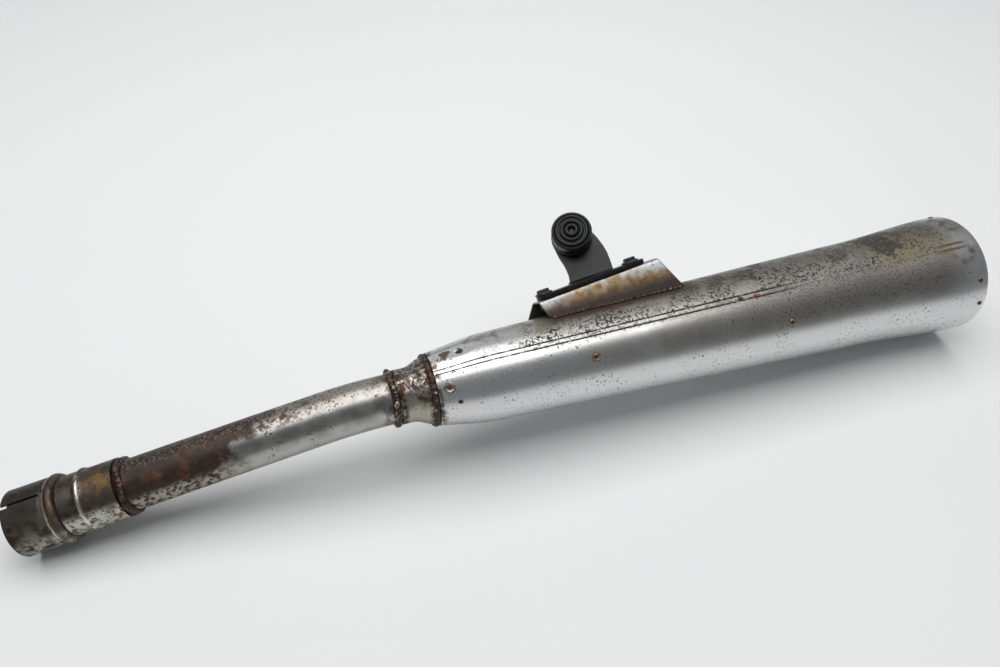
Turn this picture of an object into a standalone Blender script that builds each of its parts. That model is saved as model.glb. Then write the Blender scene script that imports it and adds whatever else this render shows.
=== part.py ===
"""Motorcycle exhaust muffler: slotted inlet, bent head pipe, tapered shell, chambers and stay.

The muffler is drawn in its own frame. Local Z runs along the shell's axis towards the tail, with zero at the
shell's front edge, and local X points at the mounting channel. An empty lays that frame down, so that the
tail rim and the inlet socket rest on the ground plane.
"""

from math import asin, atan2, cos, pi, radians, sin

import bmesh
import bpy
from mathutils import Matrix, Vector

# How the muffler lies. The axis dips towards the tail, and the channel leans back from straight up.
AXIS_DIP = radians(2.124)
CHANNEL_ROLL = radians(45.0)
FRONT_EDGE = Vector((-0.0765, -0.0204, 0.0613))

# Clearance between pieces that touch on the real object.
GAP = 0.0003
TURN_STEPS = 48
PIPE_STEPS = 32

# Tapered outer shell. Stations are distances from its front edge along the axis.
SHELL_WALL = 0.0012
FRONT_RADIUS = 0.0250
SHOULDER_AT = 0.0330
SHOULDER_RADIUS = 0.0305
FLARE_AT = 0.3220
FLARE_RADIUS = 0.0400
TAIL_AT = 0.4260
TAIL_RADIUS = 0.0455
HEM_RADIUS = 0.0016
SHELL_END = TAIL_AT + HEM_RADIUS

# Head pipe: out of the reducer along the axis, then one bend, then straight to the inlet.
PIPE_RADIUS = 0.0170
PIPE_WALL = 0.0015
BEND_AT = 0.0270
BEND_LENGTH = 0.0480
BEND_ANGLE = radians(13.0)
BEND_PLANE = radians(-124.0)
PIPE_END = 0.2500

# Reducer between the head pipe and the shell.
REDUCER_NECK_AT = -0.0240
REDUCER_NECK_RADIUS = 0.0186
REDUCER_SLEEVE_AT = 0.0150
REDUCER_WALL = 0.0013
REDUCER_SHOULDER = 0.0012
REDUCER_FLARE = 0.0022

# Inlet sleeve and slotted socket, measured along the pipe from the shell's front edge.
SLEEVE_AT = 0.2070
SLEEVE_END = 0.2424
SLEEVE_RADIUS = 0.0198
SLEEVE_RIB_AT = 0.2290
SLEEVE_RIB = 0.0011
SLEEVE_RIB_FLAT = 0.0008
SLEEVE_RIB_FADE = 0.0026
SOCKET_AT = 0.2430
SOCKET_END = 0.2757
SOCKET_RADIUS = 0.0222
SOCKET_WALL = 0.0017
COLLAR_RISE = 0.0008
COLLAR_FROM = 0.0020
COLLAR_TO = 0.0044
COLLAR_FADE = 0.0022
SEAT_DEPTH = 0.0015
SEAT_STEP = 0.0030
GASKET_WALL = 0.0022
GASKET_LENGTH = 0.0280
SLOT_WIDTH = 0.0028
SLOT_LENGTH = 0.0245
SLOT_TURN = radians(6.0)

# Weld beads.
BEAD_OFFSET = 0.0030
SLEEVE_BEAD = {"height": 0.0032, "width": 0.0050}
REDUCER_BEAD = {"height": 0.0036, "width": 0.0052}
SEAM_TURN = radians(62.5)
SEAM_WIDTH = 0.0034
SEAM_HEIGHT = 0.0004
FILLET_LEG = 0.0030
PLUG_RISE = 0.0006
PLUG_TAPER = 0.6

# Internals.
FRONT_BAFFLE_AT = 0.1080
REAR_BAFFLE_AT = 0.2580
BAFFLE_WALL = 0.0015
BAFFLE_LIP = 0.0090
DIFFUSER_RADIUS = 0.0125
DIFFUSER_FROM = 0.0060
DIFFUSER_END = 0.1500
PERFORATION_RADIUS = 0.0024
TRANSFER_RADIUS = 0.0065
TRANSFER_OFFSET = 0.0215
TRANSFER_AHEAD = 0.0300
TRANSFER_END = 0.1900
TUBE_WALL = 0.0012
OUTLET_RADIUS = 0.0110
OUTLET_FROM = 0.2150
OUTLET_END = 0.4200
CAP_AT = 0.4040
CAP_LIP_END = 0.4235

# Mounting channel, a wedge of folded sheet on the shell.
CHANNEL_TOP_FROM = 0.0845
CHANNEL_TOP_TO = 0.1790
CHANNEL_FOOT_FROM = 0.0868
CHANNEL_FOOT_TO = 0.1985
CHANNEL_FOOT_HEIGHT = 0.0200
CHANNEL_LOW_TOP = 0.0432
CHANNEL_HIGH_TOP = 0.0568
CHANNEL_TOP_WIDTH = 0.0168
CHANNEL_DEPTH = 0.0190
CHANNEL_SPLAY = {"near": 0.242, "far": 0.400}
CHANNEL_WALL = 0.0016
CHANNEL_FOLD = 0.0030

# Stay plate bolted on the channel, with a tongue that carries the rubber stopper.
STAY_THICKNESS = 0.0030
STAY_FROM = -0.0457
STAY_TO = 0.0393
STAY_WIDTH = 0.0155
STAY_CORNER = 0.0050
BOLT_STATIONS = {"front": -0.0400, "rear": 0.0297}
TONGUE_AT = 0.0016
TONGUE_BACK = -0.0060
TONGUE_YAW = radians(15.0)
TONGUE_LEAN = radians(20.0)
TONGUE_WIDTH = 0.0310
TONGUE_REACH = 0.0341
TONGUE_SKEW = 0.0042
TONGUE_FILLET = 0.0060
BOLT_RADIUS = 0.0030
BOLT_CLEARANCE = 0.0034
HEAD_FLATS = 0.0080
HEAD_HEIGHT = 0.0022
FLANGE_RADIUS = 0.0065
FLANGE_THICKNESS = 0.0012
NUT_FLATS = 0.0100
NUT_HEIGHT = 0.0050
BOLT_LENGTH = 0.0135
CUT_DEPTH = 0.0080

# Rubber stopper.
STOPPER_RADIUS = 0.0146
STOPPER_FOOT_RADIUS = 0.0150
STOPPER_HEIGHT = 0.0164
STOPPER_NECK = 0.0058
STOPPER_BARB = 0.0078
STOPPER_TAIL = 0.0060
NECK_HOLE = 0.0062

MATERIALS = {
    "worn_chrome": ((0.55, 0.54, 0.52), 0.32, 1.0),
    "rusty_pipe": ((0.30, 0.20, 0.14), 0.55, 0.8),
    "rusty_socket": ((0.20, 0.16, 0.13), 0.60, 0.7),
    "weld_metal": ((0.22, 0.15, 0.11), 0.60, 0.7),
    "inner_steel": ((0.28, 0.25, 0.22), 0.60, 0.9),
    "heat_stained_steel": ((0.50, 0.46, 0.38), 0.40, 0.9),
    "black_steel": ((0.03, 0.03, 0.03), 0.50, 0.4),
    "dark_zinc": ((0.16, 0.15, 0.14), 0.45, 0.9),
    "black_rubber": ((0.02, 0.02, 0.02), 0.65, 0.0),
    "gasket_graphite": ((0.09, 0.09, 0.09), 0.80, 0.1),
}


def clear_scene():
    for item in list(bpy.data.objects):
        bpy.data.objects.remove(item, do_unlink=True)


def collection(name):
    group = bpy.data.collections.new(name)
    bpy.context.scene.collection.children.link(group)
    return group


def make_materials():
    for name, (colour, roughness, metallic) in MATERIALS.items():
        material = bpy.data.materials.new(name)
        material.use_nodes = True
        shader = material.node_tree.nodes["Principled BSDF"]
        shader.inputs["Base Color"].default_value = (*colour, 1.0)
        shader.inputs["Roughness"].default_value = roughness
        shader.inputs["Metallic"].default_value = metallic


def empty(name, parent=None, matrix=None):
    item = bpy.data.objects.new(name, None)
    item.empty_display_size = 0.02
    PARTS.objects.link(item)
    item.parent = parent
    if matrix is not None:
        item.matrix_local = matrix
    return item


def add(name, mesh, material, parent, matrix=None):
    """Link a mesh object as a finished part."""
    item = bpy.data.objects.new(name, mesh)
    mesh.materials.clear()
    mesh.materials.append(bpy.data.materials[material])
    PARTS.objects.link(item)
    item.parent = parent
    if matrix is not None:
        item.matrix_local = matrix
    return item


def smooth(item, angle=radians(35)):
    item.data.shade_smooth()
    item.data.set_sharp_from_angle(angle=angle)
    return item


def as_cutter(item):
    """Move an object to the cutters and hide it from renders."""
    PARTS.objects.unlink(item)
    CUTTERS.objects.link(item)
    item.hide_render = True
    item.display_type = "WIRE"
    return item


def boolean(item, other, operation="DIFFERENCE"):
    modifier = item.modifiers.new(operation.lower(), "BOOLEAN")
    modifier.operation = operation
    modifier.object = other
    return item


def lathe(name, profile, material, parent, matrix=None, steps=TURN_STEPS, closed=True):
    """Turn (radius, height) points about local Z. The points run down the outer side, top to bottom."""
    mesh = bpy.data.meshes.new(name)
    count = len(profile)
    edges = [(i, i + 1) for i in range(count - 1)]
    if closed:
        edges.append((count - 1, 0))
    mesh.from_pydata([(radius, 0.0, height) for radius, height in profile], edges, [])
    item = add(name, mesh, material, parent, matrix)
    screw = item.modifiers.new("turn", "SCREW")
    screw.angle = 2 * pi
    screw.axis = "Z"
    screw.steps = steps
    screw.render_steps = steps
    screw.use_merge_vertices = True
    screw.merge_threshold = 0.00001
    screw.use_smooth_shade = True
    return item


def tube_profile(radius, wall, start, end):
    return [(radius, end), (radius, start), (radius - wall, start), (radius - wall, end)]


def bead_profile(radius, centre, height, width, points=5):
    """Half-round weld bead lying on a cylinder of the given radius."""
    turns = [pi * i / (points - 1) for i in range(points)]
    return [(radius + height * sin(turn), centre + width / 2 * cos(turn)) for turn in turns]


def plate(name, outline, thickness, material, parent, matrix=None):
    """Extrude a closed XY outline along Z, centred on the XY plane, as a mesh object."""
    curve = bpy.data.curves.new(name, "CURVE")
    curve.dimensions = "2D"
    curve.fill_mode = "BOTH"
    curve.extrude = thickness / 2
    spline = curve.splines.new("POLY")
    spline.points.add(len(outline) - 1)
    for point, (x, y) in zip(spline.points, outline):
        point.co = (x, y, 0.0, 1.0)
    spline.use_cyclic_u = True
    guide = bpy.data.objects.new(name + "_outline", curve)
    PARTS.objects.link(guide)
    depsgraph = bpy.context.evaluated_depsgraph_get()
    mesh = bpy.data.meshes.new_from_object(guide.evaluated_get(depsgraph))
    bpy.data.objects.remove(guide)
    welded = bmesh.new()
    welded.from_mesh(mesh)
    bmesh.ops.remove_doubles(welded, verts=welded.verts, dist=0.00001)
    bmesh.ops.recalc_face_normals(welded, faces=welded.faces)
    welded.to_mesh(mesh)
    welded.free()
    mesh.name = name
    return add(name, mesh, material, parent, matrix)


def cylinder(name, radius, start, end, material, parent, matrix=None, sides=24, top_radius=None):
    """Closed cylinder or cone along local Z between two heights."""
    mesh = bpy.data.meshes.new(name)
    body = bmesh.new()
    upper = radius if top_radius is None else top_radius
    bmesh.ops.create_cone(
        body, cap_ends=True, segments=sides, radius1=radius, radius2=upper, depth=end - start
    )
    bmesh.ops.translate(body, verts=body.verts, vec=(0.0, 0.0, (start + end) / 2))
    body.to_mesh(mesh)
    body.free()
    return add(name, mesh, material, parent, matrix)


def arc(centre, radius, start, end, points):
    """Points along an arc in the XY plane, both ends included."""
    turns = [start + (end - start) * i / (points - 1) for i in range(points)]
    return [(centre[0] + radius * cos(turn), centre[1] + radius * sin(turn)) for turn in turns]


def shell_radius(station):
    """Outer radius of the shell: short front cone, long slow cone, then a smooth flare."""
    if station < SHOULDER_AT:
        return FRONT_RADIUS + (SHOULDER_RADIUS - FRONT_RADIUS) * station / SHOULDER_AT
    slope = (FLARE_RADIUS - SHOULDER_RADIUS) / (FLARE_AT - SHOULDER_AT)
    if station < FLARE_AT:
        return SHOULDER_RADIUS + slope * (station - SHOULDER_AT)
    share = min((station - FLARE_AT) / (TAIL_AT - FLARE_AT), 1.0)
    return FLARE_RADIUS + (TAIL_RADIUS - FLARE_RADIUS) * share * share * (3 - 2 * share)


def turned(angle):
    return Matrix.Rotation(angle, 4, "Z")


def facing_out(angle, radius, station, tilt=0.0):
    """Frame on the shell's surface, with its own Z pointing straight out of the axis."""
    place = Matrix.Translation((radius, 0.0, station))
    return turned(angle) @ place @ Matrix.Rotation(pi / 2 + tilt, 4, "Y")


def pipe_frame(distance):
    """Frame at a distance ahead of the shell along the pipe's centre line, its Z pointing to the inlet."""
    bent = min(max((distance - BEND_AT) / BEND_LENGTH, 0.0), 1.0) * BEND_ANGLE
    radius = BEND_LENGTH / BEND_ANGLE
    straight = max(distance - BEND_AT - BEND_LENGTH, 0.0)
    drop = radius * (1 - cos(bent)) + straight * sin(bent)
    ahead = min(distance, BEND_AT) + radius * sin(bent) + straight * cos(bent)
    place = Matrix.Translation((drop, 0.0, -ahead))
    return turned(BEND_PLANE) @ place @ Matrix.Rotation(pi - bent, 4, "Y")


def sweep_tube(name, radius, wall, stations, material, parent):
    """Bent tube: a ring of points carried along the pipe's centre line, outside and back inside."""
    mesh = bpy.data.meshes.new(name)
    body = bmesh.new()
    rings = []
    path = [(station, radius) for station in stations]
    path += [(station, radius - wall) for station in reversed(stations)]
    for station, ring_radius in path:
        frame = pipe_frame(station)
        ring = []
        for i in range(PIPE_STEPS):
            turn = 2 * pi * i / PIPE_STEPS
            point = Vector((ring_radius * cos(turn), ring_radius * sin(turn), 0.0))
            ring.append(body.verts.new(frame @ point))
        rings.append(ring)
    for lower, upper in zip(rings, rings[1:] + rings[:1]):
        for i in range(PIPE_STEPS):
            j = (i + 1) % PIPE_STEPS
            body.faces.new((lower[i], lower[j], upper[j], upper[i]))
    bmesh.ops.recalc_face_normals(body, faces=body.faces)
    body.to_mesh(mesh)
    body.free()
    return smooth(add(name, mesh, material, parent))


def make_head_pipe(axis):
    bend = [BEND_AT + BEND_LENGTH * i / 6 for i in range(7)]
    stations = [-0.004, *bend, PIPE_END - 0.012]
    sweep_tube("head_pipe", PIPE_RADIUS, PIPE_WALL, stations, "rusty_pipe", axis)


def make_inlet(axis):
    """Sleeve over the pipe, slotted socket over the sleeve, the joint gasket and both weld beads."""
    straight = pipe_frame(SOCKET_END) @ Matrix.Translation((0.0, 0.0, -SOCKET_END))
    inlet = empty("inlet_frame", axis, straight)
    inner = PIPE_RADIUS + GAP
    rib = SLEEVE_RADIUS + SLEEVE_RIB
    sleeve = [
        (SLEEVE_RADIUS, SLEEVE_END),
        (SLEEVE_RADIUS, SLEEVE_RIB_AT + SLEEVE_RIB_FADE),
        (rib, SLEEVE_RIB_AT + SLEEVE_RIB_FLAT),
        (rib, SLEEVE_RIB_AT - SLEEVE_RIB_FLAT),
        (SLEEVE_RADIUS, SLEEVE_RIB_AT - SLEEVE_RIB_FADE),
        (SLEEVE_RADIUS, SLEEVE_AT),
        (inner, SLEEVE_AT),
        (inner, SLEEVE_END),
    ]
    smooth(lathe("inlet_sleeve", sleeve, "rusty_pipe", inlet))
    bore = SOCKET_RADIUS - SOCKET_WALL
    collar = SOCKET_RADIUS + COLLAR_RISE
    seat = SOCKET_AT + SEAT_DEPTH
    chamfer = 0.0005
    socket = [
        (SOCKET_RADIUS - chamfer, SOCKET_END),
        (SOCKET_RADIUS, SOCKET_END - chamfer),
        (SOCKET_RADIUS, SOCKET_AT + COLLAR_TO + COLLAR_FADE),
        (collar, SOCKET_AT + COLLAR_TO),
        (collar, SOCKET_AT + COLLAR_FROM),
        (SOCKET_RADIUS - 2 * chamfer, SOCKET_AT),
        (bore - SEAT_STEP, SOCKET_AT),
        (bore - SEAT_STEP, seat),
        (bore, seat),
        (bore, SOCKET_END),
    ]
    body = lathe("inlet_socket", socket, "rusty_socket", inlet)
    half = SLOT_WIDTH / 2
    end = SLOT_LENGTH - half
    round_end = arc((end, 0.0), half, -pi / 2, pi / 2, 7)
    slot = [(-CUT_DEPTH, half), (-CUT_DEPTH, -half), *round_end]
    place = Matrix.Translation((SOCKET_RADIUS, 0.0, SOCKET_END)) @ Matrix.Rotation(pi / 2, 4, "Y")
    place = turned(SLOT_TURN) @ place
    boolean(body, as_cutter(plate("slot_cutter", slot, 2 * CUT_DEPTH, "rusty_socket", inlet, place)))
    smooth(body)
    gasket = tube_profile(bore - GAP, GASKET_WALL, seat + GAP, seat + GASKET_LENGTH)
    smooth(lathe("inlet_joint_gasket", gasket, "gasket_graphite", inlet))
    weld = bead_profile(PIPE_RADIUS + GAP, SLEEVE_AT - BEAD_OFFSET, **SLEEVE_BEAD)
    smooth(lathe("sleeve_weld_bead", weld, "weld_metal", inlet))


def make_reducer(axis):
    """Bell that joins the pipe to the shell's front edge, with the two weld beads."""
    front = FRONT_RADIUS - SHELL_WALL - GAP
    inside = shell_radius(REDUCER_SLEEVE_AT) - SHELL_WALL - 3 * GAP
    shoulder = front - REDUCER_SHOULDER
    neck = REDUCER_NECK_RADIUS
    flare = neck + REDUCER_FLARE
    wall = REDUCER_WALL
    outer = [
        (inside, REDUCER_SLEEVE_AT),
        (front, 0.0),
        (shoulder, -0.0040),
        (flare, -0.0090),
        (neck, -0.0150),
        (neck, REDUCER_NECK_AT),
    ]
    inner = [
        (PIPE_RADIUS + GAP, REDUCER_NECK_AT),
        (PIPE_RADIUS + GAP, -0.0125),
        (flare - wall, -0.0075),
        (shoulder - wall, -0.0025),
        (front - wall, 0.0006),
        (inside - wall, REDUCER_SLEEVE_AT),
    ]
    smooth(lathe("reducer_bell", outer + inner, "worn_chrome", axis))
    neck_weld = bead_profile(PIPE_RADIUS + GAP, REDUCER_NECK_AT - BEAD_OFFSET, **REDUCER_BEAD)
    smooth(lathe("reducer_weld_bead", neck_weld, "weld_metal", axis))
    shell_weld = [
        (FRONT_RADIUS - 0.0002, -0.0003),
        (FRONT_RADIUS + 0.0004, -0.0014),
        (FRONT_RADIUS - 0.0002, -0.0030),
        (front - 0.0002, -0.0042),
        (front + GAP, -0.0003),
    ]
    smooth(lathe("shell_weld_bead", shell_weld, "weld_metal", axis))


def shell_outline():
    """Outer side of the shell from the tail to the front edge."""
    flare = [TAIL_AT + (FLARE_AT - TAIL_AT) * i / 8 for i in range(9)]
    slow = [FLARE_AT - (FLARE_AT - SHOULDER_AT) * i / 3 for i in range(1, 3)]
    round_off = 0.0050
    stations = flare + slow + [SHOULDER_AT + round_off]
    points = [(shell_radius(station), station) for station in stations]
    points.append((shell_radius(SHOULDER_AT) - 0.0003, SHOULDER_AT))
    points += [(shell_radius(station), station) for station in (SHOULDER_AT - round_off, 0.0)]
    return points


def make_shell(axis):
    outer = shell_outline()
    hem_centre = (TAIL_RADIUS - HEM_RADIUS, TAIL_AT)
    hem = arc(hem_centre, HEM_RADIUS, pi, 0.2, 6)
    inner = [(radius - SHELL_WALL, station) for radius, station in reversed(outer)]
    inner[-1] = (hem_centre[0] - HEM_RADIUS, TAIL_AT - 0.0002)
    profile = hem[:-1] + outer + inner[:-1]
    smooth(lathe("outer_shell", profile, "worn_chrome", axis))
    make_seam(axis)


def make_seam(axis):
    """Low strip of weld metal along the shell."""
    half = SEAM_WIDTH / 2
    margin = 0.0010
    flare = [FLARE_AT + (TAIL_AT - FLARE_AT) * share for share in (0.0, 0.3, 0.6, 0.8)]
    stations = [margin, SHOULDER_AT, *flare, TAIL_AT - 2 * margin]
    mesh = bpy.data.meshes.new("shell_seam_weld")
    body = bmesh.new()
    rows = []
    for station in stations:
        low = shell_radius(station) + GAP
        high = low + SEAM_HEIGHT
        corners = ((low, -half), (low, half), (high, half), (high, -half))
        rows.append([body.verts.new((radius, side, station)) for radius, side in corners])
    for lower, upper in zip(rows, rows[1:]):
        for i in range(4):
            j = (i + 1) % 4
            body.faces.new((lower[i], lower[j], upper[j], upper[i]))
    body.faces.new(rows[0])
    body.faces.new(rows[-1])
    bmesh.ops.recalc_face_normals(body, faces=body.faces)
    body.to_mesh(mesh)
    body.free()
    add("shell_seam_weld", mesh, "worn_chrome", axis, turned(SEAM_TURN))


def fit(station):
    """Largest radius that clears the inside of the shell."""
    return shell_radius(station) - SHELL_WALL - GAP


def baffle(name, station, axis, holes):
    """Dished plate with a lip along the shell, cut by (radius, offset, angle) holes."""
    back = station + BAFFLE_LIP / 2
    front = station - BAFFLE_LIP / 2
    profile = [
        (fit(back), back),
        (fit(front) - 0.0012, front + 0.0012),
        (fit(front) - 0.0028, front),
        (0.0, front),
        (0.0, front + BAFFLE_WALL),
        (fit(front) - 0.0034, front + BAFFLE_WALL),
        (fit(front) - BAFFLE_WALL - 0.0006, front + 0.0036),
        (fit(back) - BAFFLE_WALL, back),
    ]
    item = lathe(name, profile, "inner_steel", axis)
    for number, (radius, offset, angle) in enumerate(holes):
        place = turned(angle) @ Matrix.Translation((offset, 0.0, 0.0))
        cutter = cylinder(
            f"{name}_hole_{number}", radius, front - 0.01, front + 0.02, "inner_steel", axis, place
        )
        boolean(item, as_cutter(cutter))
    return smooth(item)


def perforate(item, radius, first, last, rows, around, hole):
    """Cut rings of crosswise holes in a tube on the axis."""
    for row in range(rows):
        station = first + (last - first) * row / (rows - 1)
        for number in range(around):
            angle = pi * number / around + (pi / (2 * around) if row % 2 else 0.0)
            place = turned(angle) @ Matrix.Translation((0.0, 0.0, station)) @ Matrix.Rotation(pi / 2, 4, "Y")
            cutter = cylinder(
                f"{item.name}_hole_{row}_{number}", hole, -radius * 2, radius * 2, "inner_steel",
                item.parent, place, sides=8,
            )
            boolean(item, as_cutter(cutter))


def make_internals(axis):
    """Perforated diffuser, two baffle plates, two transfer tubes, outlet tube and tail cap."""
    tubes = (("upper", pi / 2), ("lower", -pi / 2))
    transfers = [(TRANSFER_RADIUS + GAP, TRANSFER_OFFSET, angle) for _, angle in tubes]
    baffle("front_baffle_plate", FRONT_BAFFLE_AT, axis, [(DIFFUSER_RADIUS + GAP, 0.0, 0.0), *transfers])
    outlet_hole = (OUTLET_RADIUS + GAP, 0.0, 0.0)
    baffle("rear_baffle_plate", REAR_BAFFLE_AT, axis, [outlet_hole])

    diffuser = lathe(
        "perforated_diffuser_tube",
        tube_profile(DIFFUSER_RADIUS, TUBE_WALL, DIFFUSER_FROM, DIFFUSER_END),
        "inner_steel", axis, steps=24,
    )
    perforate(diffuser, DIFFUSER_RADIUS, 0.0200, 0.0900, rows=5, around=2, hole=PERFORATION_RADIUS)
    smooth(diffuser)

    for label, angle in tubes:
        place = turned(angle) @ Matrix.Translation((TRANSFER_OFFSET, 0.0, 0.0))
        profile = tube_profile(
            TRANSFER_RADIUS, TUBE_WALL, FRONT_BAFFLE_AT - TRANSFER_AHEAD, TRANSFER_END
        )
        smooth(lathe(f"transfer_tube_{label}", profile, "inner_steel", axis, place, steps=16))

    outlet = tube_profile(OUTLET_RADIUS, TUBE_WALL, OUTLET_FROM, OUTLET_END)
    smooth(lathe("outlet_tube", outlet, "inner_steel", axis, steps=24))
    make_tail_cap(axis)


def make_tail_cap(axis):
    """Dished plate recessed in the tail, its lip along the shell up to the hem."""
    wall = BAFFLE_WALL
    hem_bore = TAIL_RADIUS - 2 * HEM_RADIUS - GAP
    lip = [(min(fit(at), hem_bore), at) for at in (CAP_LIP_END, 0.4165, CAP_AT + 0.0040)]
    profile = [
        *lip,
        (fit(CAP_AT) - 0.0040, CAP_AT),
        (OUTLET_RADIUS + GAP, CAP_AT),
        (OUTLET_RADIUS + GAP, CAP_AT + wall),
        (fit(CAP_AT) - 0.0046, CAP_AT + wall),
        *[(radius - wall, at) for radius, at in reversed(lip)],
    ]
    smooth(lathe("tail_cap", profile, "inner_steel", axis))


def channel_top(station):
    share = (station - CHANNEL_TOP_FROM) / (CHANNEL_TOP_TO - CHANNEL_TOP_FROM)
    return CHANNEL_LOW_TOP + (CHANNEL_HIGH_TOP - CHANNEL_LOW_TOP) * share


def channel_section(inset, fold):
    """Cross-section of the channel as (sideways, outwards) points: narrow top, splayed walls."""
    top = CHANNEL_TOP_WIDTH / 2 - inset
    deep = 2 * CHANNEL_DEPTH
    near, far = (top + splay * deep for splay in CHANNEL_SPLAY.values())
    corner = arc((top - fold, -inset - fold), fold, 0.0, pi / 2, 5)
    mirrored = [(-x, y) for x, y in reversed(corner)]
    return [(near, -deep), *corner, *mirrored, (-far, -deep)]


def channel_block(name, inset, fold):
    """Long prism of the channel's section, laid along its sloping top."""
    along = Matrix(((0, 0, 1, 0), (1, 0, 0, 0), (0, 1, 0, 0), (0, 0, 0, 1)))
    length = 2 * (CHANNEL_TOP_TO - CHANNEL_TOP_FROM)
    return plate(name, channel_section(inset, fold), length, "heat_stained_steel", STAY, along)


def side_block(name, outline, width, parent):
    """Extrude an outline of (station, height) points sideways about the channel's middle plane."""
    place = Matrix(((0, 1, 0, 0), (0, 0, 1, 0), (1, 0, 0, 0), (0, 0, 0, 1)))
    return plate(name, outline, width, "heat_stained_steel", parent, place)


def channel_end(top, foot):
    """One sloping end of the channel, from above its top down to its foot."""
    above = 0.010
    lean = (foot - top) / (channel_top(top) - CHANNEL_FOOT_HEIGHT)
    return [(top - lean * above, channel_top(top) + above), (foot, CHANNEL_FOOT_HEIGHT)]


def make_channel(axis):
    """Folded channel with open ends, its feet cut to the shell, and one weld bead along each foot."""
    body = channel_block("mounting_channel", 0.0, CHANNEL_FOLD)
    front = channel_end(CHANNEL_TOP_FROM, CHANNEL_FOOT_FROM)
    rear = channel_end(CHANNEL_TOP_TO, CHANNEL_FOOT_TO)
    ends = as_cutter(side_block("channel_ends", front + rear[::-1], 4 * CHANNEL_DEPTH, axis))
    boolean(body, ends, "INTERSECT")
    hollow = channel_block("channel_hollow", CHANNEL_WALL, CHANNEL_FOLD - CHANNEL_WALL)
    boolean(body, as_cutter(hollow))
    boolean(body, as_cutter(cone_cutter("channel_shell_cutter", GAP, axis)))
    for label, station in BOLT_STATIONS.items():
        boolean(body, as_cutter(bolt_hole(f"channel_hole_{label}", station)))
    smooth(body)
    for label, side in (("near", 1), ("far", -1)):
        make_channel_weld(label, side, axis)


def cone_cutter(name, clearance, axis):
    """Solid with the shell's long slow cone plus a clearance."""
    margin = 0.010
    start, end = SHOULDER_AT + margin, FLARE_AT - margin
    return cylinder(
        name, shell_radius(start) + clearance, start, end, "worn_chrome", axis,
        sides=TURN_STEPS, top_radius=shell_radius(end) + clearance,
    )


def make_channel_weld(label, side, axis):
    """Triangular fillet weld in the corner between the channel's wall and the shell."""
    splay = CHANNEL_SPLAY[label]
    first, last = CHANNEL_FOOT_FROM + FILLET_LEG, CHANNEL_FOOT_TO - 3 * FILLET_LEG
    mesh = bpy.data.meshes.new(f"channel_weld_{label}")
    body = bmesh.new()
    rows = []
    count = 7
    for i in range(count):
        station = first + (last - first) * i / (count - 1)
        radius = shell_radius(station) + 2 * GAP
        turn = 0.0
        for _ in range(8):
            drop = channel_top(station) - radius * cos(turn)
            half = CHANNEL_TOP_WIDTH / 2 + splay * drop + 2 * GAP
            turn = asin(half / radius)
        out = turn + FILLET_LEG / radius
        wall_foot = Vector((radius * cos(turn), half))
        toe = Vector((radius * cos(out), radius * sin(out)))
        top = wall_foot + Vector((FILLET_LEG, -splay * FILLET_LEG))
        rows.append([body.verts.new((x, side * y, station)) for x, y in (wall_foot, toe, top)])
    for lower, upper in zip(rows, rows[1:]):
        for i in range(3):
            j = (i + 1) % 3
            body.faces.new((lower[i], lower[j], upper[j], upper[i]))
    body.faces.new(rows[0])
    body.faces.new(rows[-1])
    bmesh.ops.recalc_face_normals(body, faces=body.faces)
    body.to_mesh(mesh)
    body.free()
    smooth(add(f"channel_weld_{label}", mesh, "weld_metal", axis))


def stay_frame():
    """Frame on the channel's top face: X along the channel to the tail, Y to the near side, Z outwards."""
    middle = (CHANNEL_TOP_FROM + CHANNEL_TOP_TO) / 2
    rise = atan2(CHANNEL_HIGH_TOP - CHANNEL_LOW_TOP, CHANNEL_TOP_TO - CHANNEL_TOP_FROM)
    along = Vector((sin(rise), 0.0, cos(rise)))
    out = Vector((cos(rise), 0.0, -sin(rise)))
    near = Vector((0.0, 1.0, 0.0))
    basis = Matrix((along, near, out)).transposed().to_4x4()
    return Matrix.Translation((channel_top(middle), 0.0, middle)) @ basis


def bolt_hole(name, station):
    place = Matrix.Translation((station, 0.0, 0.0))
    return cylinder(
        name, BOLT_CLEARANCE, -CUT_DEPTH, CUT_DEPTH, "dark_zinc", STAY, place, sides=16
    )


def tongue_frame():
    """Frame at the tongue's root: X along the fold to the inlet, Y up the tongue, Z out of its near face."""
    place = Matrix.Translation((TONGUE_AT, TONGUE_BACK, GAP + STAY_THICKNESS / 2))
    yaw = Matrix.Rotation(TONGUE_YAW, 4, "Z")
    lean = Matrix.Rotation(pi, 4, "Z") @ Matrix.Rotation(pi / 2 - TONGUE_LEAN, 4, "X")
    return place @ yaw @ lean


def rounded_rectangle(left, right, low, high, radius, points=4):
    """Outline with round corners, anticlockwise from the right."""
    outline = []
    corners = ((right, high, 0), (left, high, 1), (left, low, 2), (right, low, 3))
    for x, y, quarter in corners:
        centre_x = x - radius if quarter in (0, 3) else x + radius
        centre_y = y - radius if quarter in (0, 1) else y + radius
        outline += arc((centre_x, centre_y), radius, quarter * pi / 2, (quarter + 1) * pi / 2, points)
    return outline


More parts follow.
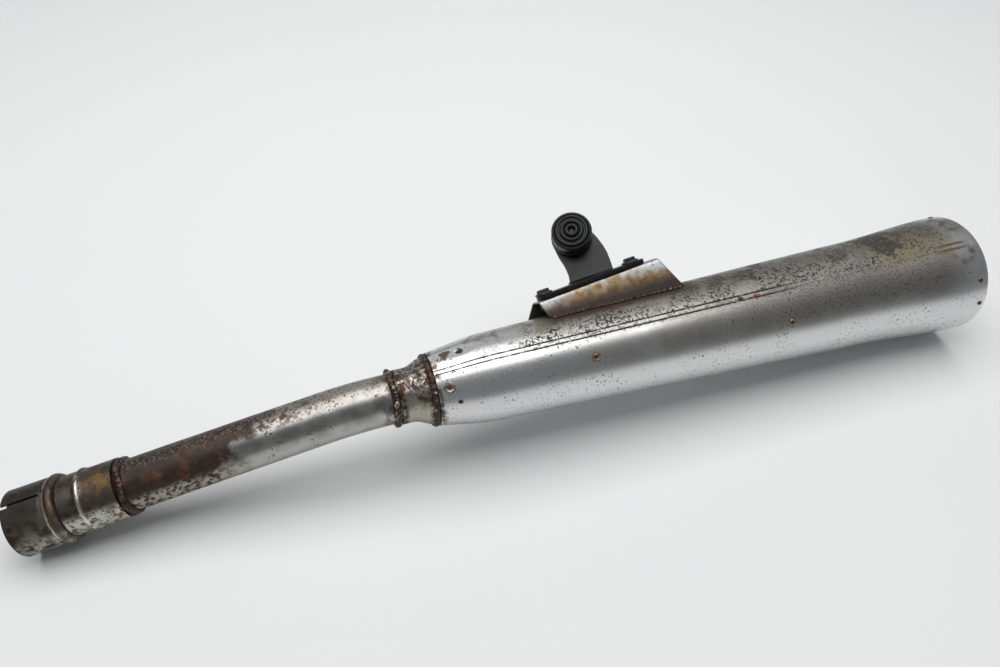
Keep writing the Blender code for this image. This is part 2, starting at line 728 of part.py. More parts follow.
def make_stay():
    """Stay plate with its tongue, bolts, weld nuts and the rubber stopper."""
    half = STAY_WIDTH / 2
    lift = Matrix.Translation((0.0, 0.0, GAP + STAY_THICKNESS / 2))
    outline = rounded_rectangle(STAY_FROM, STAY_TO, -half, half, STAY_CORNER)
    stay = plate("stay_plate", outline, STAY_THICKNESS, "black_steel", STAY, lift)
    tongue = tongue_frame()
    side = TONGUE_WIDTH / 2
    tip = arc((TONGUE_SKEW, TONGUE_REACH), side, 0.0, pi, 11)
    sunk = 0.0012
    root = [(-side, -sunk), (side + TONGUE_FILLET, -sunk)]
    fillet = arc((side + TONGUE_FILLET, TONGUE_FILLET), TONGUE_FILLET, -pi / 2, -pi, 5)
    tab = plate("tongue_blank", tip + root + fillet, STAY_THICKNESS, "black_steel", STAY, tongue)
    boolean(stay, as_cutter(tab), "UNION")
    for label, station in BOLT_STATIONS.items():
        boolean(stay, as_cutter(bolt_hole(f"stay_hole_{label}", station)))
    neck = tongue @ Matrix.Translation((TONGUE_SKEW, TONGUE_REACH, 0.0))
    hole = cylinder("neck_hole", NECK_HOLE, -CUT_DEPTH, CUT_DEPTH, "black_steel", STAY, neck)
    boolean(stay, as_cutter(hole))
    smooth(stay)
    for label, station in BOLT_STATIONS.items():
        make_fastener(label, station)
    make_stopper(neck)


def hex_corner(flats):
    return flats / 2 / cos(pi / 6)


def make_fastener(label, station):
    """Flanged hex bolt through the stay and the channel into a weld nut."""
    place = Matrix.Translation((station, 0.0, 0.0))
    seat = GAP + STAY_THICKNESS + GAP
    top = seat + FLANGE_THICKNESS
    chamfer = 0.0010
    profile = [
        (0.0, top),
        (FLANGE_RADIUS - chamfer, top),
        (FLANGE_RADIUS, seat + FLANGE_THICKNESS / 2),
        (FLANGE_RADIUS, seat),
        (BOLT_RADIUS, seat),
        (BOLT_RADIUS, seat - BOLT_LENGTH + chamfer),
        (BOLT_RADIUS - chamfer, seat - BOLT_LENGTH),
        (0.0, seat - BOLT_LENGTH),
    ]
    bolt = lathe(f"stay_bolt_{label}", profile, "dark_zinc", STAY, place, steps=24, closed=False)
    hexagon = cylinder(
        f"bolt_hex_{label}", hex_corner(HEAD_FLATS), top - FLANGE_THICKNESS / 2, top + HEAD_HEIGHT,
        "dark_zinc", STAY, place, sides=6,
    )
    boolean(bolt, as_cutter(hexagon), "UNION")
    smooth(bolt)
    top = -CHANNEL_WALL - GAP
    nut = cylinder(
        f"weld_nut_{label}", hex_corner(NUT_FLATS), top - NUT_HEIGHT, top,
        "dark_zinc", STAY, place @ turned(pi / 6), sides=6,
    )
    boolean(nut, as_cutter(bolt_hole(f"nut_bore_{label}", station)))
    smooth(nut)


def make_stopper(place):
    """Turned rubber stopper: stepped rings in front, a neck through the tongue and a barb behind."""
    face = STAY_THICKNESS / 2 + GAP
    front = face + STOPPER_HEIGHT
    foot_top = face + STOPPER_HEIGHT / 4
    step = 0.0006
    profile = [
        (0.0, front - 5 * step),
        (0.0020, front - 5 * step),
        (0.0022, front),
        (0.0036, front),
        (0.0040, front - step),
        (0.0064, front - step),
        (0.0070, front - 2 * step),
        (0.0100, front - 2 * step),
        (0.0106, front - 3 * step),
        (STOPPER_RADIUS - step, front - 3 * step),
        (STOPPER_RADIUS, front - 4 * step),
        (STOPPER_RADIUS, foot_top + step),
        (STOPPER_RADIUS - step, foot_top),
        (STOPPER_FOOT_RADIUS, foot_top - step),
        (STOPPER_FOOT_RADIUS, face),
        (STOPPER_NECK, face),
        (STOPPER_NECK, -face),
        (STOPPER_BARB, -face),
        (STOPPER_NECK, -face - STOPPER_TAIL),
        (0.0, -face - STOPPER_TAIL),
    ]
    stopper = lathe("rubber_stopper", profile, "black_rubber", STAY, place, steps=32, closed=False)
    smooth(stopper)


def make_plug_welds(axis):
    """Low round welds that pin the reducer, the baffle plates and the tail cap to the shell."""
    spots = {
        "plug_weld_reducer": (0.0076, radians(88), 0.0036),
        "plug_weld_front_baffle": (FRONT_BAFFLE_AT, radians(91), 0.0025),
        "plug_weld_rear_baffle": (REAR_BAFFLE_AT, radians(102), 0.0026),
        "plug_weld_tail_near": (0.4195, radians(101), 0.0021),
        "plug_weld_tail_top": (0.4220, radians(7), 0.0018),
        "plug_weld_tail_low": (0.4220, radians(125), 0.0018),
    }
    for name, (station, angle, radius) in spots.items():
        step = 0.0005
        slope = atan2(shell_radius(station + step) - shell_radius(station - step), 2 * step)
        sag = radius * radius / (2 * shell_radius(station))
        place = facing_out(angle, shell_radius(station) + GAP, station, slope)
        cylinder(
            name, radius, 0.0, sag + PLUG_RISE, "weld_metal", axis, place,
            sides=16, top_radius=radius * PLUG_TAPER,
        )


clear_scene()
PARTS = collection("exhaust_muffler")
CUTTERS = collection("cutters")
make_materials()

tail_way = Vector((cos(AXIS_DIP), 0.0, -sin(AXIS_DIP)))
upright = Vector((sin(AXIS_DIP), 0.0, cos(AXIS_DIP)))
channel_way = upright * cos(CHANNEL_ROLL) + Vector((0.0, sin(CHANNEL_ROLL), 0.0))
lay = Matrix((channel_way, tail_way.cross(channel_way), tail_way)).transposed().to_4x4()
AXIS = empty("muffler_axis", matrix=Matrix.Translation(FRONT_EDGE) @ lay)
STAY = empty("stay_frame", AXIS, stay_frame())

make_head_pipe(AXIS)
make_inlet(AXIS)
make_reducer(AXIS)
make_shell(AXIS)
make_internals(AXIS)
make_channel(AXIS)
make_stay()
make_plug_welds(AXIS)
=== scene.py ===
"""Looks of the motorcycle exhaust muffler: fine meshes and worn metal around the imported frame.

Every turned or bent piece is drawn in the muffler's own frame. Its Z runs along the shell's axis to the tail,
with zero at the shell's front edge, and its X points at the mounting channel. Each vertex knows its place on
the muffler: how far along it lies (run), and how far round from the channel towards the viewer (turn).
"""

from math import asin, atan2, ceil, cos, exp, hypot, pi, radians, sin

import bmesh
import bpy
from mathutils import Euler, Matrix, Vector, noise


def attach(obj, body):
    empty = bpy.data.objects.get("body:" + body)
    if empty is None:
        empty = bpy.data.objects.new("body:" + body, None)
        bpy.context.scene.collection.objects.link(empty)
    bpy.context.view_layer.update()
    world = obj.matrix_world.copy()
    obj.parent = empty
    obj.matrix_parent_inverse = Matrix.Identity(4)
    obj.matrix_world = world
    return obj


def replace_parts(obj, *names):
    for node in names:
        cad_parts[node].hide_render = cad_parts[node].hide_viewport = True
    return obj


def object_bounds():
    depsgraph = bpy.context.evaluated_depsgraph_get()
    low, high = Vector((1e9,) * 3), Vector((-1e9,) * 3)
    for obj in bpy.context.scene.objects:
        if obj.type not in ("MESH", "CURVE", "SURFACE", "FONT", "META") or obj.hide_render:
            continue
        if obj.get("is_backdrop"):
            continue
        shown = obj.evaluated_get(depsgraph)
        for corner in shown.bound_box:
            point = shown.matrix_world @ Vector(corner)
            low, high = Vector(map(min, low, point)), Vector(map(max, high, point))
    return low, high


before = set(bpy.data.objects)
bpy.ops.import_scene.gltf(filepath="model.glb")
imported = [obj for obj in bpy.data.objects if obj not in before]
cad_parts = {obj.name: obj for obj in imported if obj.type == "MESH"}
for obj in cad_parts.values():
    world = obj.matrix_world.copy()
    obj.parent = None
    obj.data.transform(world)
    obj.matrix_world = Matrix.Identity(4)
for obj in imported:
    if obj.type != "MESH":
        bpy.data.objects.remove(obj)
CAD_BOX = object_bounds()

# How the muffler lies, as in the CAD model.
AXIS_DIP = radians(2.124)
CHANNEL_ROLL = radians(45.0)
FRONT_EDGE = Vector((-0.0765, -0.0204, 0.0613))
GAP = 0.0003

# Shell.
SHELL_WALL = 0.0012
FRONT_RADIUS = 0.025
SHOULDER_AT = 0.033
SHOULDER_RADIUS = 0.0305
SHOULDER_ROUNDING = 0.009
FLARE_AT = 0.322
FLARE_RADIUS = 0.04
TAIL_AT = 0.426
TAIL_RADIUS = 0.0455
HEM_RADIUS = 0.0016
SEAM_TURN = radians(62.5)
SEAM_HALF = 0.0019
SEAM_DEPTH = 0.00045

# Head pipe, reducer and inlet. Distances run ahead of the shell's front edge along the pipe.
PIPE_RADIUS = 0.017
PIPE_WALL = 0.0015
PIPE_TUCK = 0.004
BEND_AT = 0.027
BEND_LENGTH = 0.048
BEND_ANGLE = radians(13.0)
BEND_PLANE = radians(-124.0)
PIPE_END = 0.238
NECK_AT = 0.024
NECK_RADIUS = 0.0186
SLEEVE_AT = 0.207
SLEEVE_END = 0.2424
SLEEVE_RADIUS = 0.0198
SLEEVE_RIB_AT = 0.229
SLEEVE_RIB = 0.0011
SOCKET_AT = 0.243
SOCKET_END = 0.2757
SOCKET_RADIUS = 0.0222
SOCKET_WALL = 0.0017
COLLAR_RISE = 0.0008
SLOT_WIDTH = 0.0028
SLOT_LENGTH = 0.0245
SLOT_TURN = radians(6.0)

# Tail.
OUTLET_RADIUS = 0.011
OUTLET_FROM = 0.215
OUTLET_END = 0.42
TUBE_WALL = 0.0012
CAP_AT = 0.404
CAP_LIP_END = 0.4235
CAP_WALL = 0.0015

# Channel. Its near wall and its far wall splay and slant differently.
CHANNEL_TOP = ((0.0845, 0.0432), (0.179, 0.0568))
CHANNEL_WIDTH = 0.0168
CHANNEL_WALL = 0.0016
CHANNEL_FOLD = 0.003
NEAR_SPLAY, FAR_SPLAY = 0.242, 0.4
NEAR_LEANS, FAR_LEANS = (0.32, 0.53), (-0.42, 0.53)
TOP_SHARE, FOLD_SHARE = 0.22, 0.36

# Stay and what it carries.
STAY_THICKNESS = 0.003
STAY_FROM = -0.0457
STAY_TO = 0.0393
STAY_WIDTH = 0.0155
STAY_CORNER = 0.007
BOLT_STATIONS = {"front": -0.04, "rear": 0.0297}
BOLT_SPINS = {"front": radians(11), "rear": radians(37)}
TONGUE_AT = 0.0016
TONGUE_BACK = -0.006
TONGUE_YAW = radians(15.0)
TONGUE_LEAN = radians(20.0)
TONGUE_WIDTH = 0.031
TONGUE_REACH = 0.0341
TONGUE_SKEW = 0.0042
TONGUE_FOLD_AT = 0.0028
TONGUE_FOLD_RADIUS = 0.0045
HEAD_FLATS = 0.008
HEAD_HEIGHT = 0.0022
FLANGE_RADIUS = 0.0065
FLANGE_THICKNESS = 0.0012
BOLT_RADIUS = 0.003
BOLT_LENGTH = 0.0135
STOPPER_RADIUS = 0.0146
STOPPER_FOOT_RADIUS = 0.015
STOPPER_HEIGHT = 0.0164
STOPPER_NECK = 0.0058
STOPPER_BARB = 0.0078
STOPPER_TAIL = 0.006


# ---------------------------------------------------------------- frames and curves

def muffler_frame():
    tail_way = Vector((cos(AXIS_DIP), 0.0, -sin(AXIS_DIP)))
    upright = Vector((sin(AXIS_DIP), 0.0, cos(AXIS_DIP)))
    channel_way = upright * cos(CHANNEL_ROLL) + Vector((0.0, sin(CHANNEL_ROLL), 0.0))
    lay = Matrix((channel_way, tail_way.cross(channel_way), tail_way)).transposed().to_4x4()
    return Matrix.Translation(FRONT_EDGE) @ lay


def turned(angle):
    return Matrix.Rotation(angle, 4, "Z")


def along(station):
    return Matrix.Translation((0.0, 0.0, station))


def pipe_frame(distance):
    """Frame at a distance ahead of the shell along the pipe's centre line, its Z pointing to the inlet."""
    bent = min(max((distance - BEND_AT) / BEND_LENGTH, 0.0), 1.0) * BEND_ANGLE
    radius = BEND_LENGTH / BEND_ANGLE
    straight = max(distance - BEND_AT - BEND_LENGTH, 0.0)
    drop = radius * (1 - cos(bent)) + straight * sin(bent)
    ahead = min(distance, BEND_AT) + radius * sin(bent) + straight * cos(bent)
    place = Matrix.Translation((drop, 0.0, -ahead))
    return turned(BEND_PLANE) @ place @ Matrix.Rotation(pi - bent, 4, "Y")


def stay_frame():
    """Frame on the channel's top: X along it to the tail, Y to the near side, Z outwards."""
    (front, low), (rear, high) = CHANNEL_TOP
    rise = atan2(high - low, rear - front)
    basis = Matrix((
        (sin(rise), 0.0, cos(rise)),
        (0.0, 1.0, 0.0),
        (cos(rise), 0.0, -sin(rise)),
    )).transposed().to_4x4()
    return Matrix.Translation(((low + high) / 2, 0.0, (front + rear) / 2)) @ basis


def ease(value, low, high):
    """Smooth step from 0 at low to 1 at high."""
    share = min(max((value - low) / (high - low), 0.0), 1.0)
    return share * share * (3 - 2 * share)


def divided(start, end, count):
    return [start + (end - start) * i / count for i in range(count + 1)]


def spaced(start, end, step):
    return divided(start, end, max(1, ceil(abs(end - start) / step)))


def arc(centre, radius, start, end, points):
    turns = divided(start, end, points - 1)
    return [(centre[0] + radius * cos(turn), centre[1] + radius * sin(turn)) for turn in turns]


def raw_shell_radius(station):
    if station < SHOULDER_AT:
        return FRONT_RADIUS + (SHOULDER_RADIUS - FRONT_RADIUS) * station / SHOULDER_AT
    if station < FLARE_AT:
        slope = (FLARE_RADIUS - SHOULDER_RADIUS) / (FLARE_AT - SHOULDER_AT)
        return SHOULDER_RADIUS + slope * (station - SHOULDER_AT)
    return FLARE_RADIUS + (TAIL_RADIUS - FLARE_RADIUS) * ease(station, FLARE_AT, TAIL_AT)


def shell_radius(station):
    """Radius of the shell with its shoulder rounded off."""
    reach = SHOULDER_ROUNDING
    if abs(station - SHOULDER_AT) > reach:
        return raw_shell_radius(station)
    window = [raw_shell_radius(station + reach * i / 4) for i in range(-4, 5)]
    return sum(window) / len(window)


def channel_top(station):
    (front, low), (rear, high) = CHANNEL_TOP
    return low + (high - low) * (station - front) / (rear - front)


def wobble(run, turn, size, seed=0.0):
    """Smooth noise on the muffler's skin, about -1 to 1, with lumps of the given size."""
    radius = 0.034
    point = Vector((radius * cos(turn), radius * sin(turn), run)) / size
    return noise.noise(point + Vector((seed, seed * 1.7, -seed)))


# ---------------------------------------------------------------- meshes

MUFFLER = muffler_frame()
STAY = MUFFLER @ stay_frame()
SHARP = radians(40)


def finish_mesh(name, mesh, matrix):
    """Smooth shading, and an object that rides on the frame."""
    mesh.shade_smooth()
    mesh.set_sharp_from_angle(angle=SHARP)
    piece = bpy.data.objects.new(name, mesh)
    bpy.context.scene.collection.objects.link(piece)
    piece.matrix_world = matrix
    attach(piece, "root")
    return piece


def mark_places(mesh, places, bores=()):
    """Store each vertex's place as (cos turn, sin turn, run), and 1 in bore on the inner side of a wall."""
    marks = mesh.attributes.new("place", "FLOAT_VECTOR", "POINT")
    marks.data.foreach_set("vector", [value for place in places for value in place])
    if bores:
        mesh.attributes.new("bore", "FLOAT", "POINT").data.foreach_set("value", bores)


def place_of(offset, run):
    turn = atan2(offset.y, offset.x)
    return cos(turn), sin(turn), run


def face_outwards(mesh, weld=False):
    """Turn the faces outwards, after joining the points that meet if asked."""
    body = bmesh.new()
    body.from_mesh(mesh)
    if weld:
        bmesh.ops.remove_doubles(body, verts=body.verts, dist=1e-7)
    bmesh.ops.recalc_face_normals(body, faces=body.faces)
    body.to_mesh(mesh)
    body.free()


def band(first, second, around):
    """Faces between two rings of points, from the index that each ring starts at."""
    steps = [(i, (i + 1) % around) for i in range(around)]
    return [(first + i, first + j, second + j, second + i) for i, j in steps]


def ring_piece(
    name, rows, turns=None, relief=None, sway=None, inside=None, steps=160, matrix=MUFFLER, closed=True
):
    """Surface turned about a line. A row is (frame, radius, run), and the rows run round the section.

    relief(run, turn, radius) adds to the radius of a row's points. turns(run, radius) gives their angles.
    sway(turn) shifts a point along the line. inside(run, radius) tells the inner side of the wall.
    """
    vertices, places, faces, bores = [], [], [], []
    even = [2 * pi * i / steps for i in range(steps)]
    for at, radius, run in rows:
        for angle in (turns(run, radius) if turns else even):
            flat = at.to_3x3() @ Vector((cos(angle), sin(angle), 0.0))
            turn = atan2(flat.y, flat.x)
            lift = relief(run, turn, radius) if relief and radius > 0 else 0.0
            drift = at.to_3x3().col[2] * (sway(turn) if sway else 0.0)
            vertices.append(at.translation + flat * (radius + lift) + drift)
            places.append((cos(turn), sin(turn), run))
            bores.append(1.0 if inside and inside(run, radius) else 0.0)
    around = len(turns(rows[0][2], rows[0][1])) if turns else steps
    for row in range(len(rows) if closed else len(rows) - 1):
        faces += band(row * around, (row + 1) % len(rows) * around, around)
    mesh = bpy.data.meshes.new(name)
    mesh.from_pydata(vertices, [], faces)
    mark_places(mesh, places, bores)
    face_outwards(mesh, weld=not closed)
    return finish_mesh(name, mesh, matrix)


def strip_piece(name, rings):
    """Bar through rings of points in the muffler's frame, closed at both ends."""
    around = len(rings[0])
    vertices = [point for ring in rings for point in ring]
    last = len(vertices) - around
    faces = [tuple(range(around)), tuple(range(last, last + around))]
    for start in range(0, last, around):
        faces += band(start, start + around, around)
    mesh = bpy.data.meshes.new(name)
    mesh.from_pydata(vertices, [], faces)
    mark_places(mesh, [place_of(vertex, vertex.z) for vertex in vertices])
    face_outwards(mesh)
    return finish_mesh(name, mesh, MUFFLER)


def outer_lumps(limit, *waves):
    """Relief for the points outside the limit radius, summed from waves of (height, size, seed)."""
    def relief(run, turn, radius):
        if radius < limit:
            return 0.0
        return sum(height * wobble(run, turn, size, seed) for height, size, seed in waves)

    return relief


def apply_modifier(piece, kind, **settings):
    """Add a modifier and bake it into the piece's mesh."""
    modifier = piece.modifiers.new(kind.lower(), kind)
    for key, value in settings.items():
        setattr(modifier, key, value)
    bpy.context.view_layer.update()
    depsgraph = bpy.context.evaluated_depsgraph_get()
    mesh = bpy.data.meshes.new_from_object(piece.evaluated_get(depsgraph), depsgraph=depsgraph)
    piece.modifiers.clear()
    piece.data = mesh


def soften(piece, width, segments=2, limit=radians(60), sharp=SHARP):
    """Round the edges off, and shade the rest smooth."""
    apply_modifier(piece, "BEVEL", width=width, segments=segments, angle_limit=limit, limit_method="ANGLE")
    piece.data.shade_smooth()
    piece.data.set_sharp_from_angle(angle=sharp)


def on_axis(profile):
    """Rows about the shell's axis from (radius, station) points."""
    return [(along(station), radius, station) for radius, station in profile]


def on_pipe(profile):
    """Rows about the pipe's centre line from (radius, distance) points. Their run is negative."""
    return [(pipe_frame(distance), radius, -distance) for radius, distance in profile]


def filled(points, step):
    """The same polyline with points no further apart than step."""
    dense = []
    for (r1, s1), (r2, s2) in zip(points, points[1:]):
        pieces = max(1, ceil(hypot(r2 - r1, s2 - s1) / step))
        dense += [(r1 + (r2 - r1) * i / pieces, s1 + (s2 - s1) * i / pieces) for i in range(pieces)]
    return dense + [points[-1]]


def shell_waves(run, turn):
    return 0.00016 * wobble(run, turn, 0.055) + 0.00006 * wobble(run, turn, 0.018, 3.0)


def make_shell():
    """Rolled shell: a shallow trough for the seam weld, an old dent, soft waves and a hemmed rim."""
    stations = spaced(TAIL_AT, 0.06, 0.0025) + spaced(0.06, 0.0, 0.0012)[1:]
    outer = [(shell_radius(station), station) for station in stations]
    hem_centre = (TAIL_RADIUS - HEM_RADIUS, TAIL_AT)
    hem = arc(hem_centre, HEM_RADIUS, pi, 0.15, 12)
    inner = [(shell_radius(station) - SHELL_WALL, station) for station in spaced(0.0, TAIL_AT - 0.004, 0.01)]
    inner.append((hem_centre[0] - HEM_RADIUS, TAIL_AT - 0.0006))
    profile = hem + outer + inner

    trough = [0.0, 0.4, 0.8, 0.93, 0.99, 1.01, 1.1, 1.5, 2.2]
    fine = sorted({sign * share * SEAM_HALF for share in trough for sign in (-1, 1)})
    coarse = 170

    def inside(run, radius):
        return radius < raw_shell_radius(run) - SHELL_WALL / 2 and run < TAIL_AT - 0.0005

    def turns(run, radius):
        near = [SEAM_TURN + distance / radius for distance in fine]
        first, last = near[-1], near[0] + 2 * pi
        return near + [first + (last - first) * i / coarse for i in range(1, coarse)]

    def relief(run, turn, radius):
        if radius < raw_shell_radius(run) - SHELL_WALL / 2 or run > TAIL_AT - 0.001:
            return 0.0
        dent = ((run - 0.0203) / 0.0042) ** 2 + ((turn - radians(37)) * radius / 0.0022) ** 2
        in_seam = abs(turn - SEAM_TURN) * radius < SEAM_HALF
        groove = SEAM_DEPTH * seam_strength(run) if in_seam else 0.0
        edge = 1.0 - ease(run, TAIL_AT - 0.012, TAIL_AT - 0.002)
        return (shell_waves(run, turn) - groove) * edge - 0.0012 * exp(-dent)

    shell = ring_piece("shell_skin", on_axis(profile), turns=turns, relief=relief, inside=inside)
    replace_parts(shell, "outer_shell")
    return shell


def seam_strength(run):
    """The seam shows clearly along the front two thirds, fades, and shows again near the rim."""
    return max(1.0 - ease(run, 0.235, 0.285), 0.75 * ease(run, 0.385, 0.398)) * 0.85 + 0.15


def make_seam():
    """Ground-down weld strip in the shell's trough, with low ripples across it."""
    half = SEAM_HALF - 0.00038
    crown = [(-1.0, -0.00014), (-0.8, -0.00002), (-0.3, 0.00001)]
    crown += [(-share, rise) for share, rise in reversed(crown)]
    rings = []
    for station in spaced(0.0012, TAIL_AT - 0.003, 0.0012):
        radius = shell_radius(station)
        ripple = 0.00002 * sin(station * 2 * pi / 0.0034) + 0.00004 * wobble(station, SEAM_TURN, 0.004, 7.0)
        skin = radius + shell_waves(station, SEAM_TURN) + ripple
        floor = radius - 0.0004 * seam_strength(station) - 0.0003
        section = [(share * half, skin + rise) for share, rise in crown] + [(half, floor), (-half, floor)]
        turns = [(SEAM_TURN + side / radius, level) for side, level in section]
        rings.append([Vector((level * cos(turn), level * sin(turn), station)) for turn, level in turns])
    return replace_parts(strip_piece("seam_weld", rings), "shell_seam_weld")


def make_pipe():
    """Bent head pipe, scabbed with rust towards the inlet."""
    middle = PIPE_RADIUS - PIPE_WALL / 2
    outer = [(PIPE_RADIUS, distance) for distance in spaced(-PIPE_TUCK, PIPE_END, 0.0022)]
    inner = [(PIPE_RADIUS - PIPE_WALL, distance) for distance in spaced(PIPE_END, -PIPE_TUCK, 0.01)]
    waves = outer_lumps(middle, (0.00008, 0.03, 0.0))
    lumps = outer_lumps(middle, (0.0001, 0.006, 2.0), (0.00006, 0.0028, 5.0))

    def relief(run, turn, radius):
        return waves(run, turn, radius) + ease(-run, 0.12, 0.175) * lumps(run, turn, radius)

    def inside(run, radius):
        return radius < middle

    pipe = ring_piece("pipe_skin", on_pipe(outer + inner), relief=relief, inside=inside, steps=128)
    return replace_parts(pipe, "head_pipe")


def make_reducer():
    """Pressed bell: a straight neck, then an S-shaped cone that slips into the shell."""
    front = FRONT_RADIUS - SHELL_WALL - GAP
    slip = 0.0006
    outer = []
    for distance in spaced(NECK_AT, -0.015, 0.0008):
        swell = NECK_RADIUS + (front - slip - NECK_RADIUS) * ease(-distance, -0.0165, -0.003)
        widened = min(swell + slip - distance * 0.107, front + 0.0016)
        outer.append((swell if distance > 0 else widened, -distance))
    inner = [(radius - 0.0013, station) for radius, station in reversed(outer) if station > -0.012]
    inner += [(PIPE_RADIUS + GAP, -0.0125), (PIPE_RADIUS + GAP, -NECK_AT)]
    lumps = outer_lumps(NECK_RADIUS - 0.0005, (0.0001, 0.012, 4.0))

    def relief(run, turn, radius):
        return lumps(run, turn, radius) if run < 0 else 0.0

    bell = ring_piece("reducer_skin", on_axis(outer + inner), relief=relief, steps=144)
    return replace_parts(bell, "reducer_bell")


def make_sleeve():
    """Sleeve over the pipe's end, with its pressed rib."""
    outer = []
    for distance in spaced(SLEEVE_END, SLEEVE_AT, 0.0007):
        rib = SLEEVE_RIB * exp(-((distance - SLEEVE_RIB_AT) / 0.0017) ** 2)
        outer.append((SLEEVE_RADIUS + rib, distance))
    inner = [(PIPE_RADIUS + GAP, distance) for distance in spaced(SLEEVE_AT, SLEEVE_END, 0.01)]
    relief = outer_lumps(SLEEVE_RADIUS - 0.001, (0.0001, 0.01, 6.0), (0.00005, 0.0028, 1.0))
    sleeve = ring_piece("sleeve_skin", on_pipe(outer + inner), relief=relief, steps=144)
    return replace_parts(sleeve, "inlet_sleeve")


def make_socket():
    """Slotted socket: rolled collar, round lip, and a clamp slot with soft edges."""
    bore = SOCKET_RADIUS - SOCKET_WALL
    outer = []
    for distance in spaced(SOCKET_END - 0.0006, SOCKET_AT + 0.0004, 0.0008):
        ahead = distance - SOCKET_AT
        collar = COLLAR_RISE * exp(-((ahead - 0.0034) / 0.0016) ** 2)
        nip = -0.0006 * exp(-((ahead - 0.0072) / 0.0012) ** 2)
        outer.append((SOCKET_RADIUS + collar + nip - 0.0012 * ease(-ahead, -0.0016, 0.0), distance))
    lip = arc((SOCKET_RADIUS - 0.0006, SOCKET_END - 0.0006), 0.0006, pi / 2, 0.0, 5)[:-1]
    seat = SOCKET_AT + 0.0015
    inner = [(bore - 0.003, SOCKET_AT), (bore - 0.003, seat), (bore, seat)]
    inner += [(bore, SOCKET_END - 0.0004), (bore + 0.0004, SOCKET_END)]
    relief = outer_lumps(bore + 0.0008, (0.0001, 0.012, 9.0), (0.00004, 0.003, 2.0))
    profile = lip + outer + filled(inner, 0.004)
    socket = ring_piece("socket_skin", on_pipe(profile), relief=relief, steps=192)
    cut_slot(socket)
    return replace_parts(socket, "inlet_socket")


def cut_slot(socket):
    """Cut the clamp slot, which is open at the socket's mouth, and ease its edges."""
    half = SLOT_WIDTH / 2
    reach = 0.008
    end = SLOT_LENGTH - half
    outline = [(-reach, half), (-reach, -half), *arc((end, 0.0), half, -pi / 2, pi / 2, 17)]
    count = len(outline)
    ends = [tuple(range(count)), tuple(range(count, 2 * count))]
    mesh = bpy.data.meshes.new("slot_cutter")
    vertices = [(x, y, z) for z in (-reach, reach) for x, y in outline]
    mesh.from_pydata(vertices, [], ends + band(0, count, count))
    face_outwards(mesh)
    cutter = bpy.data.objects.new("slot_cutter", mesh)
    bpy.context.scene.collection.objects.link(cutter)
    mouth = pipe_frame(SOCKET_END)
    side = Matrix.Translation((SOCKET_RADIUS, 0.0, 0.0)) @ Matrix.Rotation(pi / 2, 4, "Y")
    cutter.matrix_world = MUFFLER @ mouth @ turned(SLOT_TURN) @ side
    apply_modifier(socket, "BOOLEAN", object=cutter)
    bpy.data.objects.remove(cutter)
    soften(socket, 0.0003, limit=radians(50))
    for name in ("place", "bore"):
        socket.data.attributes.remove(socket.data.attributes[name])
    places, bores = [], []
    for vertex in socket.data.vertices:
        local = mouth.inverted() @ vertex.co
        flat = mouth.to_3x3() @ Vector((local.x, local.y, 0.0)).normalized()
        places.append(place_of(flat, -SOCKET_END - local.z))
        bores.append(1.0 - ease(hypot(local.x, local.y), SOCKET_RADIUS - SOCKET_WALL, SOCKET_RADIUS - 0.0008))
    mark_places(socket.data, places, bores)


def make_bead(label, at, base, height, width, rows_on, seed, scallops, blobs=()):
    """Weld bead round a pipe: overlapping scallops, a wandering run and a few blobs."""
    profile = [(base + height * sin(pi * i / 12), at + width / 2 * cos(pi * i / 12)) for i in range(13)]

    def relief(run, turn, radius):
        crown = max(0.0, (radius - base) / height)
        scallop = abs(sin(turn * scallops + 2.2 * wobble(0.0, turn, 0.012, seed)))
        lump = 0.55 * wobble(run, turn, 0.006, seed) + 0.35 * wobble(run, turn, 0.0024, seed + 2)
        swell = 0.45 * wobble(0.0, turn, 0.02, seed + 5)
        blob = sum(size * exp(-((turn - angle) / 0.13) ** 2) for angle, size in blobs)
        return crown * height * (0.2 * scallop - 0.3 + 0.55 * lump + swell + blob)

    def sway(turn):
        return 0.0007 * wobble(0.0, turn, 0.016, seed + 8)

    bead = ring_piece(f"{label}_bead", rows_on(profile), relief=relief, sway=sway, steps=280)
    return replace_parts(bead, f"{label}_weld_bead")


def make_plug_welds():
    """Round plug welds: a low raised rim round a rough crater."""
    spots = {
        "plug_weld_reducer": (0.0076, 88, 0.0036),
        "plug_weld_front_baffle": (0.108, 91, 0.0025),
        "plug_weld_rear_baffle": (0.258, 102, 0.0026),
        "plug_weld_tail_near": (0.4195, 101, 0.0021),
        "plug_weld_tail_top": (0.422, 7, 0.0018),
        "plug_weld_tail_low": (0.422, 125, 0.0018),
    }
    pieces = []
    for number, (node, (station, angle, size)) in enumerate(spots.items()):
        radius = shell_radius(station)
        step = 0.001
        slope = atan2(shell_radius(station + step) - shell_radius(station - step), 2 * step)
        out = turned(radians(angle)) @ Matrix.Translation((radius, 0.0, station))
        out = out @ Matrix.Rotation(pi / 2 + slope, 4, "Y")
        sag = size * size / (2 * radius)
        crater = [(0.0, 0.05), (0.35, 0.02), (0.55, 0.1)]
        profile = crater + [(0.7, 0.42), (0.8, 0.55), (0.9, 0.45), (1.0, 0.1)]
        section = [(share * size, rise * 0.0011) for share, rise in profile]
        section += [(size, -sag - 0.0006), (0.0, -sag - 0.0006)]
        rows = [(along(rise), reach, 0.0) for reach, rise in filled(section, size / 7)]

        def relief(run, turn, reach, number=number):
            return 0.05 * reach * noise.noise(Vector((2 * cos(turn), 2 * sin(turn), number * 3.1)))

        plug = ring_piece(f"{node}_crater", rows, relief=relief, steps=48, matrix=MUFFLER @ out, closed=False)
        pieces.append(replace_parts(plug, node))
    return pieces


